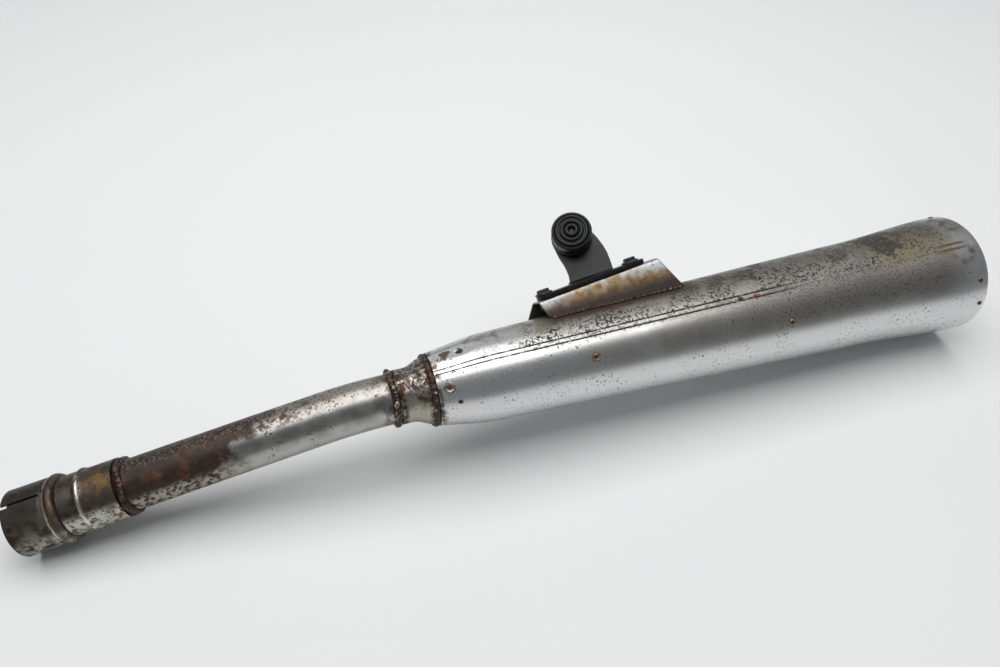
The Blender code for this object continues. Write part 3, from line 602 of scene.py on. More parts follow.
def make_tail():
    """Dished cap in the tail and the outlet tube through it."""
    wall = CAP_WALL
    hem_bore = TAIL_RADIUS - 2 * HEM_RADIUS - GAP

    def fit(station):
        return min(shell_radius(station) - SHELL_WALL - GAP, hem_bore)

    lip = [(fit(station), station) for station in spaced(CAP_LIP_END, CAP_AT + 0.005, 0.0016)]
    heel = arc((fit(CAP_AT) - 0.005, CAP_AT + 0.005), 0.0048, 0.0, -pi / 2, 7)
    dish = [(OUTLET_RADIUS + 0.004, CAP_AT), (OUTLET_RADIUS + GAP, CAP_AT + 0.001)]
    outer = lip + heel[1:] + dish
    inner = [
        (OUTLET_RADIUS + GAP, CAP_AT + 0.001 + wall),
        (OUTLET_RADIUS + 0.004, CAP_AT + wall),
        *arc((fit(CAP_AT) - 0.005, CAP_AT + 0.005), 0.0048 - wall, -pi / 2, 0.0, 7),
        *[(radius - wall, station) for radius, station in reversed(lip[:-1])],
    ]
    cap = ring_piece("cap_skin", on_axis(filled(outer + inner, 0.004)), steps=144)
    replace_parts(cap, "tail_cap")

    lip_radius = TUBE_WALL / 2
    bore = OUTLET_RADIUS - TUBE_WALL
    rim = arc((OUTLET_RADIUS - lip_radius, OUTLET_END - lip_radius), lip_radius, pi, 0.0, 7)
    tube = rim + [(OUTLET_RADIUS, OUTLET_FROM), (bore, OUTLET_FROM)]
    outlet = ring_piece("outlet_skin", on_axis(filled(tube, 0.012)), steps=96)
    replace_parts(outlet, "outlet_tube")
    return [cap, outlet]


def channel_point(across, share):
    """Point on the channel's skin: across runs from the near foot, over the top, to the far foot."""
    near = across < 0
    splay = NEAR_SPLAY if near else FAR_SPLAY
    fore_lean, rear_lean = NEAR_LEANS if near else FAR_LEANS
    (front, _), (rear, _) = CHANNEL_TOP
    flat = CHANNEL_WIDTH / 2 - CHANNEL_FOLD
    fold = pi / 2 - atan2(splay, 1)
    reach = abs(across)

    def station_at(drop):
        return front + fore_lean * drop + (rear - front + (rear_lean - fore_lean) * drop) * share

    def wall_at(drop):
        return flat + CHANNEL_FOLD * sin(fold) + splay * (drop - CHANNEL_FOLD * (1 - cos(fold)))

    if reach < TOP_SHARE:
        sideways, drop = flat * reach / TOP_SHARE, 0.0
    elif reach < FOLD_SHARE:
        bend = (reach - TOP_SHARE) / (FOLD_SHARE - TOP_SHARE) * fold
        sideways, drop = flat + CHANNEL_FOLD * sin(bend), CHANNEL_FOLD * (1 - cos(bend))
    else:
        depth = 0.012
        for _ in range(8):
            station = station_at(depth)
            skin = raw_shell_radius(station) + 0.0005
            depth = channel_top(station) - skin * cos(asin(wall_at(depth) / skin))
        start = CHANNEL_FOLD * (1 - cos(fold))
        drop = start + (depth - start) * (reach - FOLD_SHARE) / (1 - FOLD_SHARE)
        sideways = wall_at(drop)
    station = station_at(drop)
    return Vector((channel_top(station) - drop, sideways if near else -sideways, station))


def make_channel():
    """Folded sheet channel, its ends cut on the slant and its feet on the shell."""
    walls = divided(-1, -FOLD_SHARE, 12)[:-1]
    columns = walls + divided(-FOLD_SHARE, FOLD_SHARE, 24) + [-across for across in reversed(walls)]
    shares = divided(0, 1, 60)
    vertices, faces = [], []
    for share in shares:
        for across in columns:
            point = channel_point(across, share)
            point.x += 0.00012 * noise.noise(point / 0.01)
            point.y += 0.00015 * noise.noise(point / 0.016 + Vector((3, 0, 0)))
            vertices.append(point)
    width = len(columns)
    for row in range(len(shares) - 1):
        for i in range(width - 1):
            first = row * width + i
            faces.append((first, first + 1, first + width + 1, first + width))
    mesh = bpy.data.meshes.new("channel_sheet")
    mesh.from_pydata(vertices, [], faces)
    channel = finish_mesh("channel_sheet", mesh, MUFFLER)
    apply_modifier(channel, "SOLIDIFY", thickness=CHANNEL_WALL, offset=inward(mesh, channel_top(0.13)))
    soften(channel, 0.00035)
    places = [place_of(vertex.co, vertex.co.z) for vertex in channel.data.vertices]
    half = CHANNEL_WIDTH / 2

    def within(point):
        """1 well inside the folded sheet, 0 on its outer side."""
        drop = channel_top(point.z) - point.x
        splay = NEAR_SPLAY if point.y > 0 else FAR_SPLAY
        inset = half + splay * max(drop - CHANNEL_FOLD, 0.0) - abs(point.y)
        return ease(min(drop, inset), 0.0008, 0.0014)

    # The channel's inner side is marked like a bore, so it takes the soot colour: painted shade in its
    # hollow.
    mark_places(channel.data, places, [within(vertex.co) for vertex in channel.data.vertices])
    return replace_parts(channel, "mounting_channel")


def inward(mesh, level):
    """Solidify offset that thickens the sheet away from its outer side."""
    top = max(mesh.polygons, key=lambda face: face.center.x)
    return -1.0 if top.normal.x > 0 else 1.0


def make_channel_beads():
    """Fillet welds in the corners between the channel's walls and the shell."""
    pieces = []
    for node, across, seed in (("channel_weld_near", -1.0, 1.0), ("channel_weld_far", 1.0, 5.0)):
        rings = []
        for share in divided(0.02, 0.97, 150):
            foot = channel_point(across, share)
            out = Vector((foot.x, foot.y, 0.0)).normalized()
            away = Vector((out.y, -out.x, 0.0)) * across
            size = 0.001 * (1 + 0.35 * noise.noise(Vector((foot.z / 0.004, seed, 0.0))))
            size *= 1 + 0.22 * sin(foot.z * 2 * pi / 0.0042 + seed)
            size *= ease(min(share, 1 - share), 0.0, 0.05) * 0.8 + 0.2
            corner = foot + away * 0.0011 + out * 0.0002
            wide, high = away * 1.2 * size, out * 1.1 * size
            turns = divided(0, 2 * pi, 8)[:-1]
            rings.append([corner + wide * cos(turn) + high * sin(turn) for turn in turns])
        pieces.append(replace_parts(strip_piece(f"{node}_bead", rings), node))
    return pieces


def tongue_bend(point):
    """Place a point of the tongue's flat pattern: flat in the bar, then up round one smooth bend."""
    radius = TONGUE_FOLD_RADIUS
    turn_by = pi / 2 - TONGUE_LEAN
    past = point.y + TONGUE_FOLD_AT
    bent = min(max(past, 0.0) / radius, turn_by)
    straight = max(past - radius * turn_by, 0.0)
    back = min(past, 0.0) + radius * sin(bent) + straight * cos(turn_by)
    rise = radius * (1 - cos(bent)) + straight * sin(turn_by)
    return Vector((-point.x, TONGUE_FOLD_AT - back, rise))


def plate_mesh(outline):
    """Flat face with the outline, cut across finely enough to bend."""
    body = bmesh.new()
    body.faces.new([body.verts.new((x, y, 0.0)) for x, y in outline])
    lowest, highest = min(y for _, y in outline), max(y for _, y in outline)
    for level in spaced(lowest, highest, 0.0007)[1:-1]:
        geometry = body.verts[:] + body.edges[:] + body.faces[:]
        bmesh.ops.bisect_plane(body, geom=geometry, plane_co=(0.0, level, 0.0), plane_no=(0.0, 1.0, 0.0))
    return body


def make_stay():
    """Black strap with round ends, and the tongue folded up out of its far edge."""
    half, corner = STAY_WIDTH / 2, STAY_CORNER
    ends = ((STAY_TO - corner, corner - half), (STAY_TO - corner, half - corner))
    ends += ((STAY_FROM + corner, half - corner), (STAY_FROM + corner, corner - half))
    bar = []
    for quarter, centre in enumerate(ends):
        bar += arc(centre, corner, (quarter - 1) * pi / 2, quarter * pi / 2, 8)
    side = TONGUE_WIDTH / 2
    foot = -0.0075
    left = (
        (0.0042, foot), (0.0034, -0.001), (0.0014, 0.003),
        (0.0006, 0.008), (0.001, 0.015), (0.0026, 0.023),
    )
    right = (
        (0.0022, 0.027), (0.0004, 0.02), (-0.0004, 0.014),
        (-0.0004, 0.008), (0.0, 0.002), (0.0, foot),
    )
    tip = arc((TONGUE_SKEW, TONGUE_REACH), side - 0.0006, -0.1, pi, 25)
    tongue = [(side + x, y) for x, y in left] + tip + [(x - side, y) for x, y in right]
    plates = []
    for name, outline, bend, thickness in (
        ("stay_strap", bar, None, STAY_THICKNESS),
        ("stay_tongue", tongue, tongue_bend, STAY_THICKNESS - 0.0002),
    ):
        body = plate_mesh(outline)
        place = Matrix.Translation((TONGUE_AT, TONGUE_BACK, 0.0)) @ turned(TONGUE_YAW) if bend else Matrix()
        for vertex in body.verts:
            vertex.co = place @ (bend(vertex.co) if bend else vertex.co)
        mesh = bpy.data.meshes.new(name)
        body.to_mesh(mesh)
        body.free()
        plate = finish_mesh(name, mesh, STAY @ Matrix.Translation((0.0, 0.0, GAP + STAY_THICKNESS / 2)))
        apply_modifier(plate, "SOLIDIFY", thickness=thickness, offset=0.0)
        soften(plate, 0.0006, segments=3, sharp=radians(50))
        plates.append(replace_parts(plate, "stay_plate"))
    return plates


def make_bolts():
    """Flanged hex bolts with chamfered heads."""
    pieces = []
    for label, station in BOLT_STATIONS.items():
        seat = GAP + STAY_THICKNESS + GAP
        top = seat + FLANGE_THICKNESS + HEAD_HEIGHT
        flat = HEAD_FLATS / 2
        hexed = {}
        section = [
            (0.0, top - 0.0003), (flat * 0.55, top - 0.0003), (flat * 0.8, top), (flat * 0.96, top),
            (flat * 1.1, top - 0.0005), (flat * 1.16, top - 0.001), (flat * 1.16, seat + 0.0018),
            (flat * 1.17, seat + 0.0014), (FLANGE_RADIUS - 0.0009, seat + 0.001),
            (FLANGE_RADIUS - 0.0002, seat + 0.0007), (FLANGE_RADIUS, seat + 0.0003),
            (FLANGE_RADIUS - 0.0002, seat), (BOLT_RADIUS, seat), (BOLT_RADIUS, seat - BOLT_LENGTH + 0.001),
            (BOLT_RADIUS - 0.001, seat - BOLT_LENGTH), (0.0, seat - BOLT_LENGTH),
        ]
        spin = turned(BOLT_SPINS[label])
        rows = [(along(height), radius, height) for radius, height in section]

        def relief(run, turn, radius, seat=seat, flat=flat):
            if run < seat + 0.0013 or radius < flat * 0.9:
                return 0.0
            wedge = (turn + 2 * pi) % (pi / 3) - pi / 6
            return min(radius, flat / cos(wedge)) - radius

        bolt = ring_piece(
            f"bolt_{label}", rows, relief=relief, steps=72, closed=False,
            matrix=STAY @ Matrix.Translation((station, 0.0, 0.0)) @ spin,
        )
        pieces.append(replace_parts(bolt, f"stay_bolt_{label}"))
    return pieces


def tongue_place():
    """Frame in the tongue at the stopper's neck, its Z out of the near face."""
    place = Matrix.Translation((TONGUE_AT, TONGUE_BACK, GAP + STAY_THICKNESS / 2))
    lean = turned(pi) @ Matrix.Rotation(pi / 2 - TONGUE_LEAN, 4, "X")
    up = Matrix.Translation((TONGUE_SKEW, TONGUE_REACH, 0.0))
    return STAY @ place @ turned(TONGUE_YAW) @ lean @ up


def make_stopper():
    """Moulded rubber stopper: round ribs on its face, a thick body and a wider foot."""
    face = STAY_THICKNESS / 2 + GAP
    front = face + STOPPER_HEIGHT
    section = [(0.0, front - 0.0034), (0.0016, front - 0.0034), (0.0021, front - 0.002)]
    for crest, level in ((0.0036, 0.0), (0.0071, 0.0006), (0.0108, 0.0014)):
        section += arc((crest, front - level - 0.0012), 0.0012, pi, 0.0, 7)
        section.append((crest + 0.0018, front - level - 0.0021))
    body_top = front - 0.0026
    section += arc((STOPPER_RADIUS - 0.0016, body_top - 0.0016), 0.0016, pi / 2, 0.0, 7)
    foot = face + STOPPER_HEIGHT / 4
    section += [
        (STOPPER_RADIUS, foot + 0.0012), (STOPPER_RADIUS - 0.0006, foot + 0.0006),
        (STOPPER_RADIUS - 0.0006, foot + 0.0002), (STOPPER_FOOT_RADIUS - 0.0004, foot - 0.0002),
        (STOPPER_FOOT_RADIUS, foot - 0.0008), (STOPPER_FOOT_RADIUS, face + 0.0008),
        (STOPPER_FOOT_RADIUS - 0.0008, face), (STOPPER_NECK, face), (STOPPER_NECK, -face),
        (STOPPER_BARB, -face), (STOPPER_BARB - 0.0002, -face - 0.0008),
        (STOPPER_NECK, -face - STOPPER_TAIL), (0.0, -face - STOPPER_TAIL),
    ]
    rows = [(along(height), radius, height) for radius, height in section]
    stopper = ring_piece("stopper_rubber", rows, steps=96, matrix=tongue_place(), closed=False)
    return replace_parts(stopper, "rubber_stopper")


# ---------------------------------------------------------------- materials

class Finish:
    """A surface built up in layers. Each layer covers what is under it where its mask is 1."""

    def __init__(self, name, colour, roughness, metallic=1.0, cad=False):
        self.material = bpy.data.materials.new(name)
        self.material.use_nodes = True
        self.tree = self.material.node_tree
        self.shader = self.tree.nodes["Principled BSDF"]
        self.colour, self.roughness, self.metallic = colour, roughness, metallic
        self.height = 0.0
        if cad:
            self.point = self.tree.nodes.new("ShaderNodeTexCoord").outputs["Object"]
        else:
            self.point = self.mark("local").outputs["Vector"]
        split = self.tree.nodes.new("ShaderNodeSeparateXYZ")
        self.tree.links.new(self.mark("place").outputs["Vector"], split.inputs[0])
        self.turn_cos, self.turn_sin, self.run = split.outputs

    def mark(self, name):
        node = self.tree.nodes.new("ShaderNodeAttribute")
        node.attribute_name = name
        return node

    def feed(self, socket, value):
        if isinstance(value, bpy.types.NodeSocket):
            self.tree.links.new(value, socket)
        elif isinstance(value, tuple) and len(value) == 3 and socket.type == "RGBA":
            socket.default_value = (*value, 1.0)
        else:
            socket.default_value = value

    def math(self, operation, *values):
        node = self.tree.nodes.new("ShaderNodeMath")
        node.operation = operation
        for socket, value in zip(node.inputs, values):
            self.feed(socket, value)
        return node.outputs[0]

    def both(self, *masks):
        """Where all masks are 1."""
        result = masks[0]
        for mask in masks[1:]:
            result = self.math("MULTIPLY", result, mask)
        return result

    def either(self, *masks):
        """Where any mask is 1."""
        result = masks[0]
        for mask in masks[1:]:
            result = self.math("MAXIMUM", result, mask)
        return result

    def step(self, value, low, high):
        """Smooth mask from 0 at low to 1 at high. Low may be the larger."""
        node = self.tree.nodes.new("ShaderNodeMapRange")
        node.interpolation_type = "SMOOTHSTEP"
        self.feed(node.inputs["Value"], value)
        bottom, top = min(low, high), max(low, high)
        ends = (0.0, 1.0) if low < high else (1.0, 0.0)
        for key, number in zip(("From Min", "From Max", "To Min", "To Max"), (bottom, top, *ends)):
            node.inputs[key].default_value = number
        return node.outputs["Result"]

    def noise(self, size, detail=3.0, stretch=(1.0, 1.0, 1.0), warp=0.0):
        """Noise about 0 to 1 whose lumps are about size metres across."""
        scaled = self.tree.nodes.new("ShaderNodeVectorMath")
        scaled.operation = "MULTIPLY"
        self.feed(scaled.inputs[0], self.point)
        scaled.inputs[1].default_value = stretch
        node = self.tree.nodes.new("ShaderNodeTexNoise")
        self.tree.links.new(scaled.outputs[0], node.inputs["Vector"])
        node.inputs["Scale"].default_value = 1.0 / size
        node.inputs["Detail"].default_value = detail
        node.inputs["Distortion"].default_value = warp
        return node.outputs["Fac"]

    def patches(self, size, low, high, detail=3.0, warp=0.0):
        """Irregular patches of about a size: none where the noise is below low, full above high."""
        return self.step(self.noise(size, detail, warp=warp), low, high)

    def toward(self, angle, inner, outer, ragged=0.0):
        """Mask of the side at an angle round the muffler, in degrees: full within inner, none past outer."""
        way = radians(angle)
        part = self.math("MULTIPLY", self.turn_cos, cos(way))
        side = self.math("MULTIPLY_ADD", self.turn_sin, sin(way), part)
        if ragged:
            side = self.math("ADD", side, self.blur(ragged, 0.0065))
        return self.step(side, cos(radians(outer)), cos(radians(inner)))

    def between(self, from_none, from_full, to_full, to_none):
        """Mask along the muffler that rises from none to full, and falls to none again."""
        return self.both(self.step(self.run, from_none, from_full), self.step(self.run, to_none, to_full))

    def span(self, start, end, soft):
        """Mask of the stretch of the muffler from start to end."""
        return self.between(start - soft, start + soft, end - soft, end + soft)

    def blur(self, amount, size):
        """Shift of up to about amount metres along the run, to break up straight boundaries."""
        return self.math("MULTIPLY", self.math("SUBTRACT", self.noise(size, 4.0), 0.5), amount)

    def spot(self, station, angle, size, ragged=0.5):
        """Mask of a ragged patch on the shell."""
        radius = shell_radius(station)
        centre = (radius * cos(radians(angle)), radius * sin(radians(angle)), station)
        node = self.tree.nodes.new("ShaderNodeVectorMath")
        node.operation = "DISTANCE"
        self.feed(node.inputs[0], self.point)
        node.inputs[1].default_value = centre
        rough = self.math("MULTIPLY_ADD", self.noise(size * 0.7, 3.0), size * 2 * ragged, -size * ragged)
        reach = self.math("ADD", node.outputs["Value"], rough)
        return self.step(reach, size * 1.15, size * 0.75)

    def mix(self, mask, under, over, kind="VALUE"):
        """The value or colour (kind RGBA) under the mask where it is 0, and the one over it where it is 1."""
        node = self.tree.nodes.new("ShaderNodeMix")
        node.data_type = "RGBA" if kind == "RGBA" else "FLOAT"
        ends = [socket for socket in node.inputs if socket.type == kind and socket.name in ("A", "B")]
        for socket, value in zip((node.inputs["Factor"], *ends), (mask, under, over)):
            self.feed(socket, value)
        return next(socket for socket in node.outputs if socket.type == kind)

    def layer(self, mask, colour=None, roughness=None, metallic=None, height=None):
        """Cover what is there where the mask is 1, and raise it by the height in metres."""
        if colour is not None:
            self.colour = self.mix(mask, self.colour, colour, "RGBA")
        if roughness is not None:
            self.roughness = self.mix(mask, self.roughness, roughness)
        if metallic is not None:
            self.metallic = self.mix(mask, self.metallic, metallic)
        if height is not None:
            self.height = self.math("MULTIPLY_ADD", mask, height, self.height)

    def done(self, specular=0.5):
        # Inner sides of walls take the soot colour: real soot in the pipes, shell and socket, and painted
        # shade inside the channel.
        self.layer(self.mark("bore").outputs["Fac"], colour=SOOT_AND_SHADE, roughness=0.75, metallic=0.1)
        self.feed(self.shader.inputs["Base Color"], self.colour)
        self.feed(self.shader.inputs["Roughness"], self.roughness)
        self.feed(self.shader.inputs["Metallic"], self.metallic)
        self.shader.inputs["Specular IOR Level"].default_value = specular
        bump = self.tree.nodes.new("ShaderNodeBump")
        bump.inputs["Distance"].default_value = 1.0
        self.feed(bump.inputs["Height"], self.height)
        self.tree.links.new(bump.outputs["Normal"], self.shader.inputs["Normal"])
        return self.material


CHROME = (0.66, 0.665, 0.665)
STEEL = (0.42, 0.41, 0.39)
SOOT_AND_SHADE = (0.022, 0.018, 0.016)
PIT = (0.036, 0.029, 0.023)
RUST_DARK = (0.05, 0.023, 0.014)
RUST = (0.15, 0.052, 0.018)
GOLD = (0.245, 0.22, 0.165)
OLIVE = (0.21, 0.165, 0.075)
HEAT_BROWN = (0.115, 0.066, 0.038)
BLACK = (0.007, 0.007, 0.0075)
DULL_STEEL = (0.1, 0.085, 0.075)


def shell_finish():
    look = Finish("worn_chrome_skin", CHROME, 0.22)
    look.layer(look.noise(0.03, 4.0, warp=0.4), roughness=0.3)
    look.layer(look.patches(0.0016, 0.45, 0.8, 5.0), roughness=0.32, height=0.000005)
    look.layer(look.noise(0.0009, 3.0, stretch=(1.0, 1.0, 0.18)), height=0.000004)
    dulled = look.both(look.toward(30, 20, 46, ragged=0.03), look.between(-0.01, 0.13, 0.396, 0.424))
    look.layer(dulled, (0.25, 0.24, 0.22), 0.42, metallic=0.85)
    # Darker, browner chrome on the band past the seam, where the dim surroundings are mirrored: painted dark
    # reflection.
    uneven = look.patches(0.024, 0.05, 0.62, 5.0)
    dark_reflection_band = look.both(look.toward(84, 8, 36), uneven, look.between(0.02, 0.2, 0.38, 0.424))
    look.layer(dark_reflection_band, (0.36, 0.345, 0.315), 0.34)
    dim = look.both(look.toward(66, 20, 46), look.between(0.14, 0.29, 0.384, 0.416))
    look.layer(dim, (0.27, 0.262, 0.242), 0.46)
    fine = look.both(dim, look.patches(0.0011, 0.52, 0.64, 4.5))
    look.layer(fine, (0.11, 0.096, 0.08), 0.55, height=-0.00003)
    cloud = look.patches(0.013, 0.44, 0.66, 6.0, warp=0.5)
    look.layer(look.both(look.toward(20, 12, 38), cloud, look.span(0.02, 0.42, 0.02)), GOLD)
    tarnish = look.both(look.toward(40, 34, 62), look.patches(0.01, 0.5, 0.7, 5.0))
    look.layer(look.both(look.span(0.4, 0.424, 0.008), tarnish), GOLD, 0.34)
    wander = look.math("ADD", look.run, look.blur(0.03, 0.011))
    streak = look.both(look.step(wander, 0.392, 0.396), look.step(wander, 0.404, 0.399))
    streak = look.both(streak, look.toward(52, 10, 36), look.patches(0.0016, 0.36, 0.8, 6.0))
    look.layer(streak, (0.19, 0.13, 0.055), 0.45, metallic=0.8)
    seep = look.both(look.toward(48, 10, 24), look.span(0.34, 0.398, 0.018), look.noise(0.004, 4.0))
    look.layer(seep, OLIVE, 0.42)
    around_weld = look.both(look.toward(16, 13, 24, ragged=0.03), look.span(0.084, 0.201, 0.008))
    stained = look.both(around_weld, look.patches(0.003, 0.1, 0.4, 5.0))
    look.layer(stained, (0.06, 0.04, 0.028), 0.5, metallic=0.5)

    above = look.either(look.toward(38, 20, 25), look.both(look.toward(40, 25, 31), look.noise(0.004)))
    crowd = look.patches(0.018, 0.33, 0.56, 4.0)
    above = look.both(above, look.span(0.04, 0.41, 0.022), crowd)
    for size, low in ((0.0024, 0.53), (0.0013, 0.55)):
        specks = look.patches(size, low, low + 0.07, 2.5, warp=0.3)
        look.layer(look.both(above, specks), PIT, 0.6, metallic=0.3, height=-0.00006)
    mass = look.patches(0.014, 0.49, 0.58, 7.0, warp=0.4)
    grain = look.patches(0.0017, 0.36, 0.5)
    crusted = look.both(look.toward(24, 13, 27), look.span(0.19, 0.392, 0.03), mass, grain)
    look.layer(crusted, (0.05, 0.042, 0.035), 0.62, metallic=0.3, height=0.00005)
    darkest = look.both(look.spot(0.356, 29, 0.015, 1.3), look.patches(0.0017, 0.3, 0.46))
    look.layer(darkest, (0.048, 0.04, 0.034), 0.6, metallic=0.4)
    far = look.both(look.toward(-40, 40, 66), look.patches(0.0021, 0.58, 0.65), crowd)
    look.layer(far, PIT, 0.6, metallic=0.3, height=-0.00005)

    middle = look.both(look.patches(0.0016, 0.635, 0.69, 2.0), look.patches(0.022, 0.36, 0.6))
    look.layer(middle, PIT, 0.6, metallic=0.3, height=-0.00004)
    front = look.both(look.step(look.run, 0.006, 0.0004), look.patches(0.004, 0.34, 0.62, 4.0))
    look.layer(front, RUST_DARK, 0.6, metallic=0.4)
    side = look.math("MULTIPLY", look.turn_cos, -sin(SEAM_TURN))
    side = look.math("ABSOLUTE", look.math("MULTIPLY_ADD", look.turn_sin, cos(SEAM_TURN), side))
    edge = look.math("ABSOLUTE", look.math("SUBTRACT", look.math("MULTIPLY", side, 0.034), SEAM_HALF))
    line = look.both(look.step(edge, 0.0009, 0.0002), look.toward(62, 12, 16))
    ahead = look.both(look.span(-0.01, 0.262, 0.02), look.patches(0.005, 0.28, 0.48))
    look.layer(look.both(line, ahead), PIT, 0.55)
    look.layer(look.both(line, look.span(0.392, 0.416, 0.006)), (0.16, 0.1, 0.035), 0.5)
    for station, angle, size, ragged, colour in (
        (0.01, 37, 0.0046, 1.3, (0.1, 0.07, 0.05)), (0.0203, 37, 0.003, 0.6, SOOT_AND_SHADE),
        (0.013, 111, 0.0018, 0.6, RUST_DARK), (0.107, 59, 0.0016, 0.8, RUST_DARK),
        (0.223, 63.5, 0.0022, 1.2, RUST_DARK), (0.235, 64.5, 0.002, 1.4, RUST),
        (0.0076, 88, 0.0044, 0.3, (0.1, 0.08, 0.06)), (0.108, 91, 0.0036, 1.0, HEAT_BROWN),
        (0.258, 102, 0.0034, 0.6, (0.06, 0.05, 0.045)),
    ):
        patch = look.spot(station, angle, size, ragged)
        look.layer(patch, colour, 0.55, metallic=0.5)
    return look.done()


def pipe_finish():
    look = Finish("rusty_pipe_skin", STEEL, 0.26)
    look.layer(look.noise(0.006, 5.0), roughness=0.36)
    look.layer(look.noise(0.0012, 4.0, stretch=(1.0, 1.0, 0.5)), height=0.000012)
    cool = look.both(look.toward(100, 16, 40), look.patches(0.012, 0.36, 0.6, 4.0))
    look.layer(cool, (0.3, 0.29, 0.28), 0.32)
    top = look.toward(20, 30, 62)
    look.layer(look.both(top, look.noise(0.004, 5.0)), (0.22, 0.185, 0.15), 0.45)
    flecks = look.both(look.patches(0.0015, 0.57, 0.65), look.either(top, look.patches(0.01, 0.5, 0.6)))
    look.layer(flecks, PIT, 0.55, metallic=0.4)
    near_bell = look.both(look.step(look.run, -0.045, -0.026), look.patches(0.006, 0.44, 0.6, 5.0))
    look.layer(near_bell, HEAT_BROWN, 0.45)
    slant = look.math("MULTIPLY_ADD", look.turn_cos, -0.022, look.run)
    slant = look.math("ADD", slant, look.blur(0.06, 0.013))
    rust = look.step(slant, -0.12, -0.136)
    outlying = look.both(top, look.step(slant, -0.062, -0.12), look.patches(0.003, 0.46, 0.58, 5.0))
    look.layer(outlying, (0.085, 0.055, 0.036), 0.58, metallic=0.5)
    look.layer(rust, (0.034, 0.021, 0.015), 0.46, metallic=0.45, height=0.00003)
    scabs = look.both(rust, look.patches(0.011, 0.49, 0.7, 7.0, warp=0.3))
    look.layer(scabs, (0.085, 0.036, 0.016), 0.58, metallic=0.3, height=0.00006)
    bright = look.both(rust, look.patches(0.0085, 0.57, 0.75, 5.0, warp=0.4), look.noise(0.0016, 3.0))
    look.layer(bright, (0.21, 0.08, 0.026), 0.66, metallic=0.2)
    grey = look.both(rust, look.toward(25, 16, 36), look.patches(0.0016, 0.5, 0.62, 4.0))
    look.layer(grey, (0.13, 0.11, 0.105), 0.5, metallic=0.5, height=0.00004)
    under = look.both(look.toward(148, 18, 38, ragged=0.3), look.step(slant, -0.105, -0.128))
    look.layer(under, (0.34, 0.325, 0.28), 0.36, metallic=0.9)
    olive = look.both(under, look.patches(0.0034, 0.4, 0.6, 8.0))
    look.layer(olive, (0.13, 0.095, 0.048), 0.5)
    dots = look.both(look.toward(128, 30, 50), rust, look.patches(0.0034, 0.5, 0.6, 6.0))
    look.layer(dots, RUST_DARK, 0.6, metallic=0.4, height=-0.00005)
    return look.done()


def reducer_finish():
    look = Finish("reducer_metal", (0.45, 0.43, 0.4), 0.24)
    look.layer(look.noise(0.006, 5.0), roughness=0.36, height=0.00003)
    warm = look.both(look.toward(72, 26, 48), look.patches(0.009, 0.4, 0.66, 4.0, warp=0.3))
    look.layer(warm, (0.34, 0.25, 0.17), 0.3)
    burnt = look.both(look.toward(90, 14, 34), look.patches(0.0075, 0.44, 0.6, 5.0))
    look.layer(burnt, (0.11, 0.062, 0.036), 0.42)
    low = look.both(look.toward(135, 20, 40), look.noise(0.006, 4.0))
    look.layer(low, (0.33, 0.3, 0.21), 0.36)
    above = look.toward(30, 40, 64)
    look.layer(look.both(above, look.patches(0.003, 0.36, 0.6, 4.0)), (0.14, 0.115, 0.095))
    for size in (0.0022, 0.0012):
        pits = look.patches(size, 0.54, 0.61)
        look.layer(look.both(pits, above), PIT, 0.6, metallic=0.4, height=-0.00007)
    look.layer(look.patches(0.0018, 0.64, 0.7, 2.0), PIT, 0.6, height=-0.00005)
    ends = look.either(look.step(look.run, -0.0185, -0.0222), look.step(look.run, -0.008, -0.004))
    look.layer(look.both(ends, look.patches(0.003, 0.3, 0.58, 4.0)), RUST_DARK, 0.5)
    return look.done()


def sleeve_finish():
    look = Finish("sleeve_rust", (0.105, 0.088, 0.072), 0.34, 0.9)
    look.layer(look.noise(0.004, 5.0), roughness=0.46, height=0.00007)
    look.layer(look.patches(0.005, 0.44, 0.66, 5.0), (0.055, 0.038, 0.03), 0.5)
    low = look.toward(142, 20, 40, ragged=0.18)
    look.layer(low, (0.46, 0.45, 0.41), 0.3, metallic=1.0)
    patch = look.both(look.toward(62, 20, 40), look.span(-0.224, -0.207, 0.004), look.noise(0.003, 4.0))
    rusty = look.both(patch, look.patches(0.007, 0.36, 0.6, 5.0))
    look.layer(rusty, (0.24, 0.105, 0.03), 0.6, metallic=0.5)
    look.layer(look.both(patch, look.patches(0.005, 0.5, 0.62, 5.0)), (0.16, 0.13, 0.045))
    specks = look.patches(0.002, 0.56, 0.64, 4.0)
    look.layer(specks, RUST_DARK, 0.62, metallic=0.4, height=-0.00005)
    gilt = look.both(low, look.patches(0.0036, 0.48, 0.62, 8.0))
    look.layer(gilt, (0.15, 0.115, 0.06), 0.48)
    rib = look.span(-SLEEVE_RIB_AT - 0.0009, -SLEEVE_RIB_AT + 0.0009, 0.0006)
    # Bright rubbed metal on the rib, kept to the side facing the viewer: partly wear, partly a painted
    # highlight.
    rubbed_glint = look.both(rib, look.toward(90, 50, 70), look.patches(0.005, 0.3, 0.5))
    look.layer(rubbed_glint, (0.62, 0.6, 0.57), 0.24, metallic=1.0)
    return look.done()


